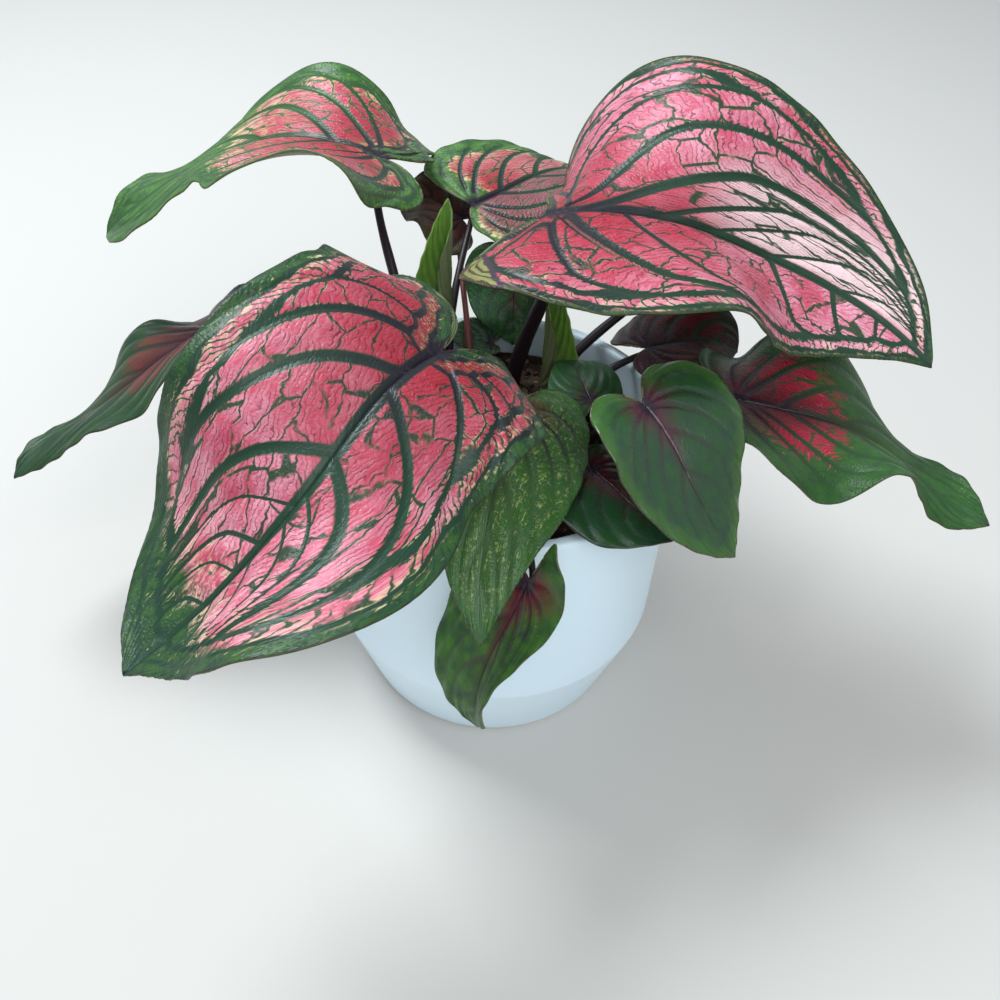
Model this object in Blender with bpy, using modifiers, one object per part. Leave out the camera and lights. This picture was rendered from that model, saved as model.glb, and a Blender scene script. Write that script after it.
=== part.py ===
# Caladium in a white pot: pot, soil, leaf blades, rolled young leaves and their stalks.
# All sizes are in millimetres and degrees. The origin is the centre of the pot's foot, +Z up.
import bmesh
import bpy
import numpy as np
from mathutils import Vector
from mathutils.geometry import interpolate_bezier

# Pot
RIM_RADIUS = 70.0
FOOT_RADIUS = 57.0
POT_HEIGHT = 131.0
CREASE_HEIGHT = 43.0
LIP = 5.0
FLOOR = 6.0
POT_STEPS = 48

# Soil
SOIL_TOP = 116.0
SOIL_CROWN = 2.5
SOIL_GAP = 0.35
SOIL_STEPS = 48
HOLE_DEPTH = 10.0
HOLE_GAP = 0.3

# Blades
BLADE_THICKNESS = 0.8
STALK_GAP = 0.35
STALK_NECK = 1.2

# Stations along a blade, as a share of its length from the stalk, negative in the lobes.
STATIONS = (-0.3, 0.0, 0.33, 0.67, 1.0)

# One entry for each open blade. "at" is where the stalk meets it. Pairs are (left, right), seen
# from the stalk towards the tip. heading is the compass angle of the midrib from +X, turn bends it
# sideways, pitch lifts it, roll tips the blade about it, fold lifts each half and curl bends it.
BLADES = {
    "pink_front_left": dict(
        at=(-20.3, -46.7, 196.1), length=143.5, half_width=(43.2, 51.6), lobe=(46.0, 59.8),
        spread=1.25, full=1.66, belly=0.15, heading=242, pitch=(25, 16, -21, -45, -12), turn=(27, 1, -3, -35, -17),
        roll=(-39, -22, -16, 3, 15), fold_left=(-13, 3, -4, 18, 15), fold_right=(1, 10, 10, 15, 12),
        curl_left=(-8, -12, -40, 0, -8), curl_right=(-50, -19, -10, 13, -36), rings=6, sides=44),
    "pink_right": dict(
        at=(14.9, 23.0, 207.7), length=166.1, half_width=(72.6, 55.2), lobe=(4.0, 30.3),
        spread=1.09, full=0.62, belly=0.01, heading=2, pitch=(91, 13, -22, -22, -29), turn=(-4, 0, 11, -10, -39),
        roll=(-20, -21, 6, 16, 10), fold_left=(50, 6, 43, 17, 10), fold_right=(11, -15, 12, 4, 9),
        curl_left=(-29, -23, -24, 14, -20), curl_right=(1, -17, -16, -22, -11), rings=6, sides=44),
    "twisted_rear_left": dict(
        at=(-55.6, 87.9, 193.0), length=139.8, half_width=(57.5, 45.8), lobe=(28.1, 18.9),
        spread=0.95, full=0.82, belly=-0.10, heading=168, pitch=(8, 13, -16, -26, -48), turn=(-5, 0, -3, 36, -3),
        roll=(15, 13, 3, 11, -31), fold_left=(-5, 3, 10, 10, 14), fold_right=(3, 5, 20, -4, 19),
        curl_left=(-57, 14, -16, -8, -15), curl_right=(-21, -15, 2, -26, -15), rings=5, sides=36),
    "rear_centre": dict(
        at=(-16.6, 92.3, 171.5), length=78.3, half_width=(37.1, 33.7), lobe=(6.9, 12.0),
        spread=1.20, full=0.70, belly=0.03, heading=41, pitch=(-18, 1, 3, -12, -33), turn=(0, 0, 4, -1, -5),
        roll=(1, 6, 4, -6, -29), fold_left=(7, 10, 11, 7, 1), fold_right=(7, 5, 8, 8, 8),
        curl_left=(-18, -23, -12, -10, -21), curl_right=(-17, -19, -15, -15, -15), rings=5, sides=30),
    "dark_rear": dict(
        at=(-22.7, 103.1, 158.0), length=32.6, half_width=(24.1, 23.5), lobe=(13.0, 6.0),
        spread=1.02, full=0.74, belly=0.02, heading=153, pitch=(8, 19, 17, -4, -35), turn=(-1, 0, 2, 8, 6),
        roll=(-7, -2, 1, -11, -11), fold_left=(1, 5, 11, 6, 8), fold_right=(8, 8, 8, 14, 10),
        curl_left=(-23, -18, -10, -17, -15), curl_right=(-15, -15, -15, -10, -13), rings=4, sides=26),
    "hanging_centre": dict(
        at=(2.8, 66.5, 157.0), length=32.5, half_width=(16.3, 21.9), lobe=(4.0, 9.4),
        spread=1.00, full=0.64, belly=0.03, heading=267, pitch=(-58, -60, -64, -65, -70), turn=(-6, 0, 4, 12, -8),
        roll=(-2, 3, 4, 3, 3), fold_left=(8, 8, 7, 8, 8), fold_right=(10, 6, 4, 8, 7),
        curl_left=(-15, -15, -17, -15, -15), curl_right=(-11, -20, -24, -15, -15), rings=4, sides=26),
    "low_rear": dict(
        at=(-5.7, 54.7, 126.6), length=18.8, half_width=(5.4, 10.0), lobe=(4.0, 4.0),
        spread=1.00, full=0.96, belly=0.04, heading=180, pitch=(0, 6, 12, 3, -9), turn=(0, 0, -3, 1, 4),
        roll=(-40, -39, -40, -40, -40), fold_left=(8, 9, 9, 8, 8), fold_right=(9, 1, 7, 10, 8),
        curl_left=(-15, -13, -14, -15, -15), curl_right=(-14, -27, -17, -13, -15), rings=3, sides=22),
    "maroon_right_rear": dict(
        at=(59.4, 41.0, 139.0), length=42.6, half_width=(27.8, 21.6), lobe=(14.1, 9.1),
        spread=1.00, full=1.04, belly=0.02, heading=13, pitch=(11, 7, -2, -15, -39), turn=(-3, 0, 9, -1, -16),
        roll=(-6, -3, -2, 15, 26), fold_left=(-8, 4, 7, 16, 13), fold_right=(0, 5, 12, 8, 8),
        curl_left=(-19, -26, -16, -8, -11), curl_right=(-21, -18, -10, -15, -15), rings=4, sides=28),
    "crimson_far_right": dict(
        at=(89.7, 1.2, 146.0), length=111.9, half_width=(46.6, 40.9), lobe=(16.3, 10.0),
        spread=1.08, full=0.46, belly=0.03, heading=-8, pitch=(-1, -5, -17, -26, -3), turn=(0, 0, 9, -23, -23),
        roll=(3, -5, 2, -14, 34), fold_left=(13, 6, 14, 0, 8), fold_right=(9, 13, 4, 15, -4),
        curl_left=(-15, -36, 3, -37, -10), curl_right=(-14, -4, -33, 9, -23), rings=5, sides=38),
    "hidden_right_rear": dict(
        at=(74.0, 70.0, 166.0), length=44.0, half_width=(19.0, 18.0), lobe=(10.0, 10.0),
        spread=1.00, full=0.60, belly=0.02, heading=24, pitch=(4, -4, -12, -20, -28), turn=(0, 0, 3, 6, 8),
        roll=(-2, -2, 0, 3, 6), fold_left=(6, 8, 10, 8, 8), fold_right=(6, 8, 10, 8, 8),
        curl_left=(-15, -18, -16, -14, -12), curl_right=(-15, -18, -16, -14, -12), rings=4, sides=26),
    "glossy_front_right": dict(
        at=(47.6, -43.3, 176.0), length=61.4, half_width=(32.4, 29.0), lobe=(9.7, 12.3),
        spread=0.88, full=0.65, belly=-0.02, heading=-36, pitch=(3, -30, -47, -50, -42), turn=(-1, 0, -5, 5, 5),
        roll=(-5, -5, 2, 3, -4), fold_left=(-2, 6, 13, 10, 7), fold_right=(2, 11, 11, 8, 8),
        curl_left=(-20, -8, -12, -7, -19), curl_right=(-26, -11, -10, -13, -16), rings=5, sides=32),
    "dark_under_glossy": dict(
        at=(33.8, -36.4, 140.0), length=40.1, half_width=(16.0, 27.1), lobe=(10.0, 10.0),
        spread=1.00, full=0.78, belly=0.02, heading=-47, pitch=(0, 0, -4, -8, -11), turn=(0, 0, -3, 2, 4),
        roll=(0, -1, 0, 6, 2), fold_left=(8, 8, 8, 8, 8), fold_right=(8, 9, 9, 4, 8),
        curl_left=(-15, -15, -15, -15, -15), curl_right=(-15, -14, -12, -21, -15), rings=4, sides=26),
    "small_inner": dict(
        at=(33.8, 0.6, 142.0), length=29.5, half_width=(14.9, 14.5), lobe=(10.0, 10.5),
        spread=1.00, full=0.65, belly=0.02, heading=108, pitch=(1, 5, 3, -11, -26), turn=(0, 0, -2, 3, -4),
        roll=(0, 3, -3, -2, 6), fold_left=(8, 8, 8, 8, 10), fold_right=(9, 4, 12, 10, 8),
        curl_left=(-15, -15, -14, -15, -15), curl_right=(-14, -23, -9, -13, -15), rings=3, sides=24),
    "speckled_front": dict(
        at=(5.0, -24.7, 157.0), length=89.8, half_width=(31.1, 25.4), lobe=(21.5, 14.0),
        spread=0.97, full=0.28, belly=0.04, heading=262, pitch=(14, 3, -19, -33, -55), turn=(-2, 0, -2, 4, 20),
        roll=(-8, -9, -8, 2, 7), fold_left=(0, 2, 1, 10, 9), fold_right=(8, 8, 8, 8, 8),
        curl_left=(-8, -35, -25, -14, -14), curl_right=(-15, -15, -15, -15, -15), rings=5, sides=34),
    "low_front": dict(
        at=(11.9, -85.1, 133.0), length=71.4, half_width=(16.4, 27.7), lobe=(20.2, 7.9),
        spread=0.91, full=0.83, belly=0.01, heading=227, pitch=(-62, -64, -60, -80, -104), turn=(-1, 0, -7, 2, 6),
        roll=(13, 1, 7, 9, -3), fold_left=(25, 8, 16, 29, 7), fold_right=(8, 11, 10, 18, 9),
        curl_left=(-3, -16, -4, 8, -17), curl_right=(-15, -11, -7, -14, -9),
        notch_right=(9.0, 0.30, 8.0), rings=4, sides=34),
    "dark_far_left": dict(
        at=(-128.1, 49.6, 128.3), length=103.6, half_width=(33.6, 34.2), lobe=(30.4, 30.4),
        spread=1.00, full=0.49, belly=0.02, heading=209, pitch=(0, -17, -34, -24, -21), turn=(0, 0, -7, 7, 26),
        roll=(1, 16, 6, 16, -6), fold_left=(7, 16, 8, 7, 8), fold_right=(8, 1, 11, -8, 12),
        curl_left=(-17, -2, -15, -8, -20), curl_right=(-14, -26, -9, -32, -12), rings=5, sides=36),
    "rolled_left": dict(
        at=(-24.5, 46.0, 151.0), length=46.0, half_width=(14.0, 11.0), lobe=(1.0, 1.0),
        spread=0.60, full=0.35, belly=0.22, heading=90, pitch=(88, 88, 86, 88, 88), turn=(0, 0, 0, 0, 0),
        roll=(0, 0, -2, 0, 4), fold_left=(8, 8, 8, 8, 8), fold_right=(20, 20, 20, 20, 20),
        curl_left=(45, 45, 40, 60, 80), curl_right=(250, 250, 250, 250, 250), rings=5, sides=28),
    "rolled_right": dict(
        at=(17.4, 33.0, 122.6), length=51.0, half_width=(11.0, 14.0), lobe=(1.0, 1.0),
        spread=0.60, full=0.35, belly=0.22, heading=90, pitch=(86, 86, 84, 86, 86), turn=(0, 0, 0, 0, 0),
        roll=(0, 4, 6, 2, 0), fold_left=(20, 20, 20, 20, 20), fold_right=(8, 8, 8, 8, 8),
        curl_left=(250, 250, 250, 250, 250), curl_right=(45, 45, 40, 60, 80), rings=5, sides=28),
}

# One entry for each stalk: foot on the soil (x, y), radius at the foot and at the blade, how far it
# rises straight from the soil, how far below the blade its last bend begins, and the lean of its rise.
STALKS = {
    "pink_front_left": dict(foot=(-24, 20), radius=(3.3, 1.8), rise=22, reach=16, lean=(0, 0)),
    "pink_right": dict(foot=(4, 39), radius=(3.3, 1.9), rise=30, reach=26, lean=(3, 0)),
    "twisted_rear_left": dict(foot=(-37, 35), radius=(2.3, 1.4), rise=34, reach=24, lean=(-3, 14)),
    "rear_centre": dict(foot=(-22.5, 42), radius=(1.8, 1.2), rise=36, reach=16, lean=(-3.5, -3.5)),
    "dark_rear": dict(foot=(-14, 43), radius=(1.4, 1.0), rise=30, reach=10, lean=(-1, -2)),
    "hanging_centre": dict(foot=(9, 58), radius=(1.5, 1.0), rise=20, reach=8, lean=(-1, 5)),
    "low_rear": dict(foot=(-6, 59), radius=(1.1, 0.9), rise=3, reach=2, lean=(0, 0)),
    "maroon_right_rear": dict(foot=(29, 28), radius=(1.8, 1.1), rise=17, reach=2.5, lean=(14, 8)),
    "crimson_far_right": dict(foot=(42, 4), radius=(2.0, 1.3), rise=26, reach=10, lean=(18, 0)),
    "hidden_right_rear": dict(foot=(22, 44), radius=(2.2, 1.3), rise=30, reach=12, lean=(22, 12)),
    "glossy_front_right": dict(foot=(30, -8), radius=(1.9, 1.3), rise=24, reach=12, lean=(6, -4)),
    "dark_under_glossy": dict(foot=(18, -9), radius=(1.6, 1.1), rise=20, reach=10, lean=(4, -8)),
    "small_inner": dict(foot=(36, 17), radius=(1.4, 1.0), rise=8, reach=6, lean=(0, 0)),
    "speckled_front": dict(foot=(1, -6), radius=(1.8, 1.2), rise=28, reach=12, lean=(0, -4)),
    "low_front": dict(foot=(-5, -24), radius=(1.7, 1.1), rise=44, reach=8, lean=(4, -24)),
    "dark_far_left": dict(foot=(-44, 20), radius=(1.9, 1.2), rise=44, reach=14, lean=(-24, 8)),
    "rolled_left": dict(foot=(-28, 37), radius=(2.2, 1.4), rise=14, reach=8, lean=(0, 2)),
    "rolled_right": dict(foot=(17.4, 33), radius=(1.6, 1.5), rise=0.1, reach=0.1, lean=(0, 0)),
}

# Colours (linear RGB) and roughness
WHITE = ((0.78, 0.79, 0.82), 0.32)
EARTH = ((0.035, 0.022, 0.014), 0.95)
PINK = ((0.62, 0.09, 0.14), 0.38)
GREEN = ((0.05, 0.13, 0.035), 0.36)
DARK_GREEN = ((0.03, 0.075, 0.03), 0.34)
MAROON = ((0.10, 0.025, 0.03), 0.40)
LIME = ((0.30, 0.45, 0.10), 0.42)
STALK_BLACK = ((0.018, 0.012, 0.014), 0.35)
STALK_RED = ((0.12, 0.03, 0.028), 0.40)
BLADE_COLOURS = {
    "pink_front_left": PINK, "pink_right": PINK, "twisted_rear_left": PINK, "rear_centre": PINK,
    "dark_rear": MAROON, "maroon_right_rear": MAROON, "crimson_far_right": MAROON,
    "speckled_front": GREEN, "glossy_front_right": GREEN, "low_front": GREEN,
    "rolled_left": LIME, "rolled_right": LIME,
}

MM = 0.001

for old in list(bpy.data.objects):
    bpy.data.objects.remove(old, do_unlink=True)

plant_collection = bpy.data.collections.new("caladium")
cutter_collection = bpy.data.collections.new("cutters")
bpy.context.scene.collection.children.link(plant_collection)
bpy.context.scene.collection.children.link(cutter_collection)


def make_material(name, colour, roughness):
    material = bpy.data.materials.new(name)
    material.use_nodes = True
    shader = material.node_tree.nodes["Principled BSDF"]
    shader.inputs["Base Color"].default_value = (*colour, 1.0)
    shader.inputs["Roughness"].default_value = roughness
    shader.inputs["Metallic"].default_value = 0.0
    material.diffuse_color = (*colour, 1.0)
    return material


def add_object(name, data, look, collection=plant_collection):
    thing = bpy.data.objects.new(name, data)
    collection.objects.link(thing)
    data.materials.append(make_material(name + "_material", *look))
    return thing


def lathe(name, profile, steps, look):
    # The profile (radius, height) is turned about Z by a Screw modifier.
    mesh = bpy.data.meshes.new(name)
    points = [(r * MM, 0.0, z * MM) for r, z in profile]
    mesh.from_pydata(points, [(i, i + 1) for i in range(len(points) - 1)], [])
    thing = add_object(name, mesh, look)
    screw = thing.modifiers.new("turn", "SCREW")
    screw.axis = "Z"
    screw.steps = steps
    screw.render_steps = steps
    screw.use_merge_vertices = True
    screw.merge_threshold = 0.00005
    return thing


def steer(values, x):
    # Cubic curve through the values at the stations, held level beyond both ends.
    st = np.array(STATIONS)
    v = np.array(values, float)
    x = np.clip(x, st[0], st[-1])
    slope = np.gradient(v, st)
    i = np.clip(np.searchsorted(st, x) - 1, 0, len(st) - 2)
    h = st[i + 1] - st[i]
    u = (x - st[i]) / h
    start = (2 * u**3 - 3 * u**2 + 1) * v[i] + (u**3 - 2 * u**2 + u) * h * slope[i]
    end = (3 * u**2 - 2 * u**3) * v[i + 1] + (u**3 - u**2) * h * slope[i + 1]
    return start + end


def half_outline(leaf, side, count):
    # One margin of the flat blade as (along, across), from the notch between the lobes to the tip.
    length = leaf["length"]
    width = leaf["half_width"][side]
    lobe = leaf["lobe"][side]
    spread = leaf["spread"]
    full = leaf["full"]
    points = np.array([
        (-0.02 * length, 0.0),
        (-0.55 * lobe, 0.17 * width * spread),
        (-0.97 * lobe, 0.42 * width * spread),
        (-0.62 * lobe, 0.83 * width),
        (leaf["belly"] * length, width),
        (0.42 * length, (0.80 + 0.14 * full) * width),
        (0.70 * length, (0.40 + 0.34 * full) * width),
        (0.90 * length, (0.11 + 0.26 * full) * width),
        (length, 0.0),
    ])
    k = np.concatenate([[0.0], np.cumsum(np.hypot(*np.diff(points, axis=0).T))])
    k /= k[-1]
    slope = np.gradient(points, k, axis=0)
    slope[0] = (points[1] - points[0]) / (k[1] - k[0])
    slope[-1] = (points[-1] - points[-2]) / (k[-1] - k[-2])
    q = np.linspace(0.0, 1.0, count)
    i = np.clip(np.searchsorted(k, q) - 1, 0, len(k) - 2)
    h = (k[i + 1] - k[i])[:, None]
    u = ((q - k[i]) / (k[i + 1] - k[i]))[:, None]
    edge = (2 * u**3 - 3 * u**2 + 1) * points[i] + (u**3 - 2 * u**2 + u) * h * slope[i]
    edge += (3 * u**2 - 2 * u**3) * points[i + 1] + (u**3 - u**2) * h * slope[i + 1]
    centre, depth, reach = leaf.get("notch_left" if side == 0 else "notch_right", (0.0, 0.0, 1.0))
    edge[:, 1] *= 1.0 - depth * np.exp(-((edge[:, 0] - centre) / reach)**2)
    return edge


def blade_points(leaf, along, across):
    # Points in space for flat coordinates; across is positive on the left half.
    length = leaf["length"]
    rear = max(leaf["lobe"]) * 1.05
    s = np.concatenate([np.linspace(-rear, 0.0, 30)[:-1], np.linspace(0.0, length * 1.001, 160)])
    pitch = np.radians(steer(leaf["pitch"], s / length))
    turn = np.radians(leaf["heading"] + steer(leaf["turn"], s / length))
    forward = np.stack([np.cos(pitch) * np.cos(turn), np.cos(pitch) * np.sin(turn), np.sin(pitch)], -1)
    step = 0.5 * (forward[1:] + forward[:-1]) * np.diff(s)[:, None]
    rib = np.concatenate([[np.zeros(3)], np.cumsum(step, axis=0)])
    rib += np.array(leaf["at"]) - rib[29]
    base = np.stack([np.interp(along, s, rib[:, k]) for k in range(3)], -1)
    p = np.interp(along, s, pitch)
    h = np.interp(along, s, turn)
    r = np.radians(steer(leaf["roll"], along / length))[..., None]
    left = np.stack([-np.sin(h), np.cos(h), 0.0 * h], -1)
    up = np.stack([-np.sin(p) * np.cos(h), -np.sin(p) * np.sin(h), np.cos(p)], -1)
    side = np.cos(r) * left + np.sin(r) * up
    normal = np.cos(r) * up - np.sin(r) * left
    on_left = across >= 0.0
    fold = np.radians(np.where(on_left, steer(leaf["fold_left"], along / length),
                               steer(leaf["fold_right"], along / length)))
    curl = np.radians(np.where(on_left, steer(leaf["curl_left"], along / length),
                               steer(leaf["curl_right"], along / length)))
    distance = np.abs(across)
    half = 0.5 * curl * distance / np.where(on_left, *leaf["half_width"])
    chord = distance * np.sinc(half / np.pi)
    out = base + (np.sign(across) * chord * np.cos(fold + half))[..., None] * side
    return out + (chord * np.sin(fold + half))[..., None] * normal


def margin(leaf):
    # The whole margin, up the left half and back down the right half.
    half = leaf["sides"] // 2
    left = half_outline(leaf, 0, half + 1)
    right = half_outline(leaf, 1, half + 1)[::-1] * (1.0, -1.0)
    return np.vstack([left, right[1:]])


def seat_frame(leaf):
    # Where the stalk meets the blade, the direction out of its upper face there, and the
    # steepest fall of the first ring below that seat.
    ring = margin(leaf) / leaf["rings"]
    seat = np.array(leaf["at"])
    reach = blade_points(leaf, ring[:, 0], ring[:, 1]) - seat
    across = reach[:leaf["sides"] // 2].sum(axis=0) - reach[leaf["sides"] // 2 + 1:].sum(axis=0)
    normal = np.cross(reach[leaf["sides"] // 2], across)
    normal /= np.linalg.norm(normal)
    droop = max(0.0, float(np.max(-(reach @ normal) / np.linalg.norm(reach, axis=1))))
    return Vector(seat), Vector(normal), droop


def build_blade(name, leaf):
    # A fan of rings round the stalk's seat, bent in space and given its thickness.
    rings = leaf["rings"]
    edge = margin(leaf)
    mesh = bpy.data.meshes.new(name)
    grid = bmesh.new()
    bmesh.ops.create_grid(grid, x_segments=rings, y_segments=len(edge) - 1, size=1.0)
    flat = np.array([v.co for v in grid.verts])
    ring = np.rint((flat[:, 0] + 1.0) * 0.5 * rings) / rings
    index = np.rint((flat[:, 1] + 1.0) * 0.5 * (len(edge) - 1)).astype(int)
    points = blade_points(leaf, ring * edge[index, 0], ring * edge[index, 1])
    for vert, point in zip(grid.verts, points):
        vert.co = Vector(point) * MM
    bmesh.ops.remove_doubles(grid, verts=grid.verts, dist=0.00002)
    bmesh.ops.triangulate(grid, faces=grid.faces)
    bmesh.ops.recalc_face_normals(grid, faces=grid.faces)
    grid.to_mesh(mesh)
    grid.free()
    kind = "leaf_" if name.startswith("rolled") else "blade_"
    thing = add_object(kind + name, mesh, BLADE_COLOURS.get(name, DARK_GREEN))
    shell = thing.modifiers.new("thickness", "SOLIDIFY")
    shell.thickness = BLADE_THICKNESS * MM
    shell.offset = 0.0
    return thing


def build_stalk(name, stalk, leaf):
    # A tapered tube from its hole in the soil to just under the blade.
    wide, narrow = stalk["radius"]
    seat, normal, droop = seat_frame(leaf)
    top = seat - normal * (0.5 * BLADE_THICKNESS + STALK_GAP + droop * narrow)
    foot = Vector((*stalk["foot"], SOIL_TOP - HOLE_DEPTH + HOLE_GAP))
    start = Vector((*stalk["foot"], SOIL_TOP + SOIL_CROWN))
    lean = Vector((*stalk["lean"], stalk["rise"]))
    if name.startswith("rolled"):
        normal = Vector((0.0, 0.0, 1.0))
        top = Vector(leaf["at"]) - normal * (leaf["lobe"][0] + STALK_GAP)
    neck = top - normal * STALK_NECK
    bends = interpolate_bezier(start, start + lean, neck - normal * stalk["reach"], neck, 9)
    points = [foot] + list(bends) + [top]
    curve = bpy.data.curves.new("stalk_" + name, "CURVE")
    curve.dimensions = "3D"
    curve.bevel_depth = 1.0 * MM
    curve.bevel_resolution = 1
    curve.use_fill_caps = True
    line = curve.splines.new("POLY")
    line.points.add(len(points) - 1)
    for i, point in enumerate(points):
        share = min(max(0.0, (i - 1) / (len(points) - 3)), 1.0)
        line.points[i].co = (*(point * MM), 1.0)
        line.points[i].radius = wide + (narrow - wide) * share**1.3
    return add_object("stalk_" + name, curve, STALK_RED if name == "dark_rear" else STALK_BLACK)


# Pot, a turned cup with a rounded lip and a crease below the straight wall
inner = RIM_RADIUS - LIP
lathe("pot", [
    (0.0, FLOOR), (FOOT_RADIUS - LIP - 3.0, FLOOR), (FOOT_RADIUS - LIP, FLOOR + 2.5),
    (inner, CREASE_HEIGHT + 1.0), (inner, POT_HEIGHT - 1.8), (inner + 0.7, POT_HEIGHT - 0.4),
    (inner + 2.2, POT_HEIGHT), (RIM_RADIUS - 1.7, POT_HEIGHT - 0.3), (RIM_RADIUS - 0.4, POT_HEIGHT - 1.4),
    (RIM_RADIUS, POT_HEIGHT - 3.0), (RIM_RADIUS, CREASE_HEIGHT + 0.8), (RIM_RADIUS - 0.4, CREASE_HEIGHT - 0.8),
    (FOOT_RADIUS + 0.5, 1.6), (FOOT_RADIUS - 0.6, 0.4), (FOOT_RADIUS - 2.0, 0.0), (0.0, 0.0),
], POT_STEPS, WHITE)

# Soil, filling the pot to its own level with a gentle crown, and a plain hole for each stalk
soil_edge = inner - SOIL_GAP
soil = lathe("soil", [
    (0.0, SOIL_TOP + SOIL_CROWN), (20.0, SOIL_TOP + 0.85 * SOIL_CROWN), (42.0, SOIL_TOP + 0.4 * SOIL_CROWN),
    (soil_edge - 3.0, SOIL_TOP), (soil_edge, SOIL_TOP - 1.5), (soil_edge, CREASE_HEIGHT + 1.2),
    (FOOT_RADIUS - LIP - 0.5, FLOOR + 3.0), (FOOT_RADIUS - LIP - 3.4, FLOOR + SOIL_GAP), (0.0, FLOOR + SOIL_GAP),
], SOIL_STEPS, EARTH)
for stalk_name, stalk_sizes in STALKS.items():
    hole_mesh = bpy.data.meshes.new("hole_" + stalk_name)
    drill = bmesh.new()
    hole_radius = (stalk_sizes["radius"][0] + HOLE_GAP) / np.cos(np.pi / 12.0)
    bmesh.ops.create_cone(drill, cap_ends=True, segments=12, radius1=hole_radius * MM, radius2=hole_radius * MM,
                          depth=2.0 * HOLE_DEPTH * MM)
    drill.to_mesh(hole_mesh)
    drill.free()
    hole = add_object("hole_" + stalk_name, hole_mesh, EARTH, cutter_collection)
    hole.location = Vector((*stalk_sizes["foot"], SOIL_TOP)) * MM
    hole.hide_render = True
    hole.display_type = "WIRE"
    cut = soil.modifiers.new("cut_" + stalk_name, "BOOLEAN")
    cut.operation = "DIFFERENCE"
    cut.solver = "EXACT"
    cut.object = hole

# Leaves and their stalks
for leaf_name, leaf_sizes in BLADES.items():
    build_blade(leaf_name, leaf_sizes)
    build_stalk(leaf_name, STALKS[leaf_name], leaf_sizes)
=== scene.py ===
# Caladium in a white pot: fine leaves with veins, stalks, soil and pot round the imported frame.
import math
import bmesh
import bpy
import numpy as np
from mathutils import Matrix, Vector
from types import SimpleNamespace


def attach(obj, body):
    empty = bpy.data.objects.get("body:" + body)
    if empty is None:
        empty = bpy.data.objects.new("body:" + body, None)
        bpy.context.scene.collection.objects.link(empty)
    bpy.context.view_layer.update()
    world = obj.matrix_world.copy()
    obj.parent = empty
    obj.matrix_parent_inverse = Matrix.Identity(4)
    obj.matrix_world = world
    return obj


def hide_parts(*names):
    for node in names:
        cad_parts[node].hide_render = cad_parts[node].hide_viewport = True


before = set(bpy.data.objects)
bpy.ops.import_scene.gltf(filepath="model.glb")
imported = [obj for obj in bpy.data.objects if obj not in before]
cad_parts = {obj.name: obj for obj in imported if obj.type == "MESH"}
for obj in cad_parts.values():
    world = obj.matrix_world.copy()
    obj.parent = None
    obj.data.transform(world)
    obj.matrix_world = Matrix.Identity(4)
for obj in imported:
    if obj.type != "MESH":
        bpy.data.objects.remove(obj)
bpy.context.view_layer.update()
mm = 0.001


# Shader maths as plain expressions: a Wire holds one socket, and its operators add Math nodes.
class Wire:
    def __init__(self, tree, socket):
        self.tree = tree
        self.socket = socket

    def calc(self, operation, *others, clamp=False):
        return self.put("Math", dict(operation=operation, use_clamp=clamp), (self, *others))

    def put(self, kind, settings, values, output=0):
        # Any node: its type without the common prefix, its settings, then the values or links of its
        # sockets. A colour gets its alpha of 1 here.
        node = self.tree.nodes.new("ShaderNode" + kind)
        for key, value in settings.items():
            setattr(node, key, value)
        pairs = values.items() if isinstance(values, dict) else enumerate(values)
        for key, value in pairs:
            if isinstance(value, Wire):
                self.tree.links.new(value.socket, node.inputs[key])
            elif isinstance(value, (tuple, list)) and len(value) == 3 and node.inputs[key].type == "RGBA":
                node.inputs[key].default_value = (*value, 1)
            elif value is not None:
                node.inputs[key].default_value = value
        return Wire(self.tree, node.outputs[output])

    def __add__(self, other):
        return self.calc("ADD", other)

    def __sub__(self, other):
        return self.calc("SUBTRACT", other)

    def __mul__(self, other):
        return self.calc("MULTIPLY", other)

    def __abs__(self):
        return self.calc("ABSOLUTE")

    def __rsub__(self, other):
        return self.put("Math", dict(operation="SUBTRACT"), (other, self))

    __radd__ = __add__
    __rmul__ = __mul__

    def fract(self):
        return self.calc("FRACT")

    def least(self, other):
        return self.calc("MINIMUM", other)

    def most(self, other):
        return self.calc("MAXIMUM", other)

    def held(self):
        return self.calc("ADD", 0, clamp=True)

    def rise(self, low, high):
        # 0 below low, 1 above high, eased between; low may be the larger.
        eased = dict(interpolation_type="SMOOTHSTEP")
        return self.put("MapRange", eased, (self, low, high, 0, 1))

    def tint(self, first, second):
        # This wire is the share of the second colour.
        values = {0: self, 6: first, 7: second}
        return self.put("Mix", dict(data_type="RGBA", clamp_factor=True), values, 2)


def startMaterial(name, **constants):
    # A Principled material with its unchanging values set straight on the shader.
    material = bpy.data.materials.new(name)
    material.use_nodes = True
    shader = material.node_tree.nodes["Principled BSDF"]
    for key, value in constants.items():
        socket = shader.inputs[key.replace("_", " ")]
        socket.default_value = (*value, 1) if isinstance(value, tuple) and len(value) == 3 else value
    return material, shader, Wire(material.node_tree, shader.inputs[0])


def joinTo(wire, shader, name):
    wire.tree.links.new(wire.socket, shader.inputs[name])


def bumpTo(height, shader, distance, strength=1):
    # distance in metres is the height of a full step of the wire.
    bump = height.put("Bump", {}, {"Strength": strength, "Distance": distance, "Height": height})
    joinTo(bump, shader, "Normal")


def objectPlace(wire):
    return wire.put("TexCoord", {}, {}, "Object")


def noiseOf(place, scale, detail=2, rough=0.5):
    sockets = {"Vector": place, "Scale": scale, "Detail": detail, "Roughness": rough}
    return place.put("TexNoise", {}, sockets)


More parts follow.
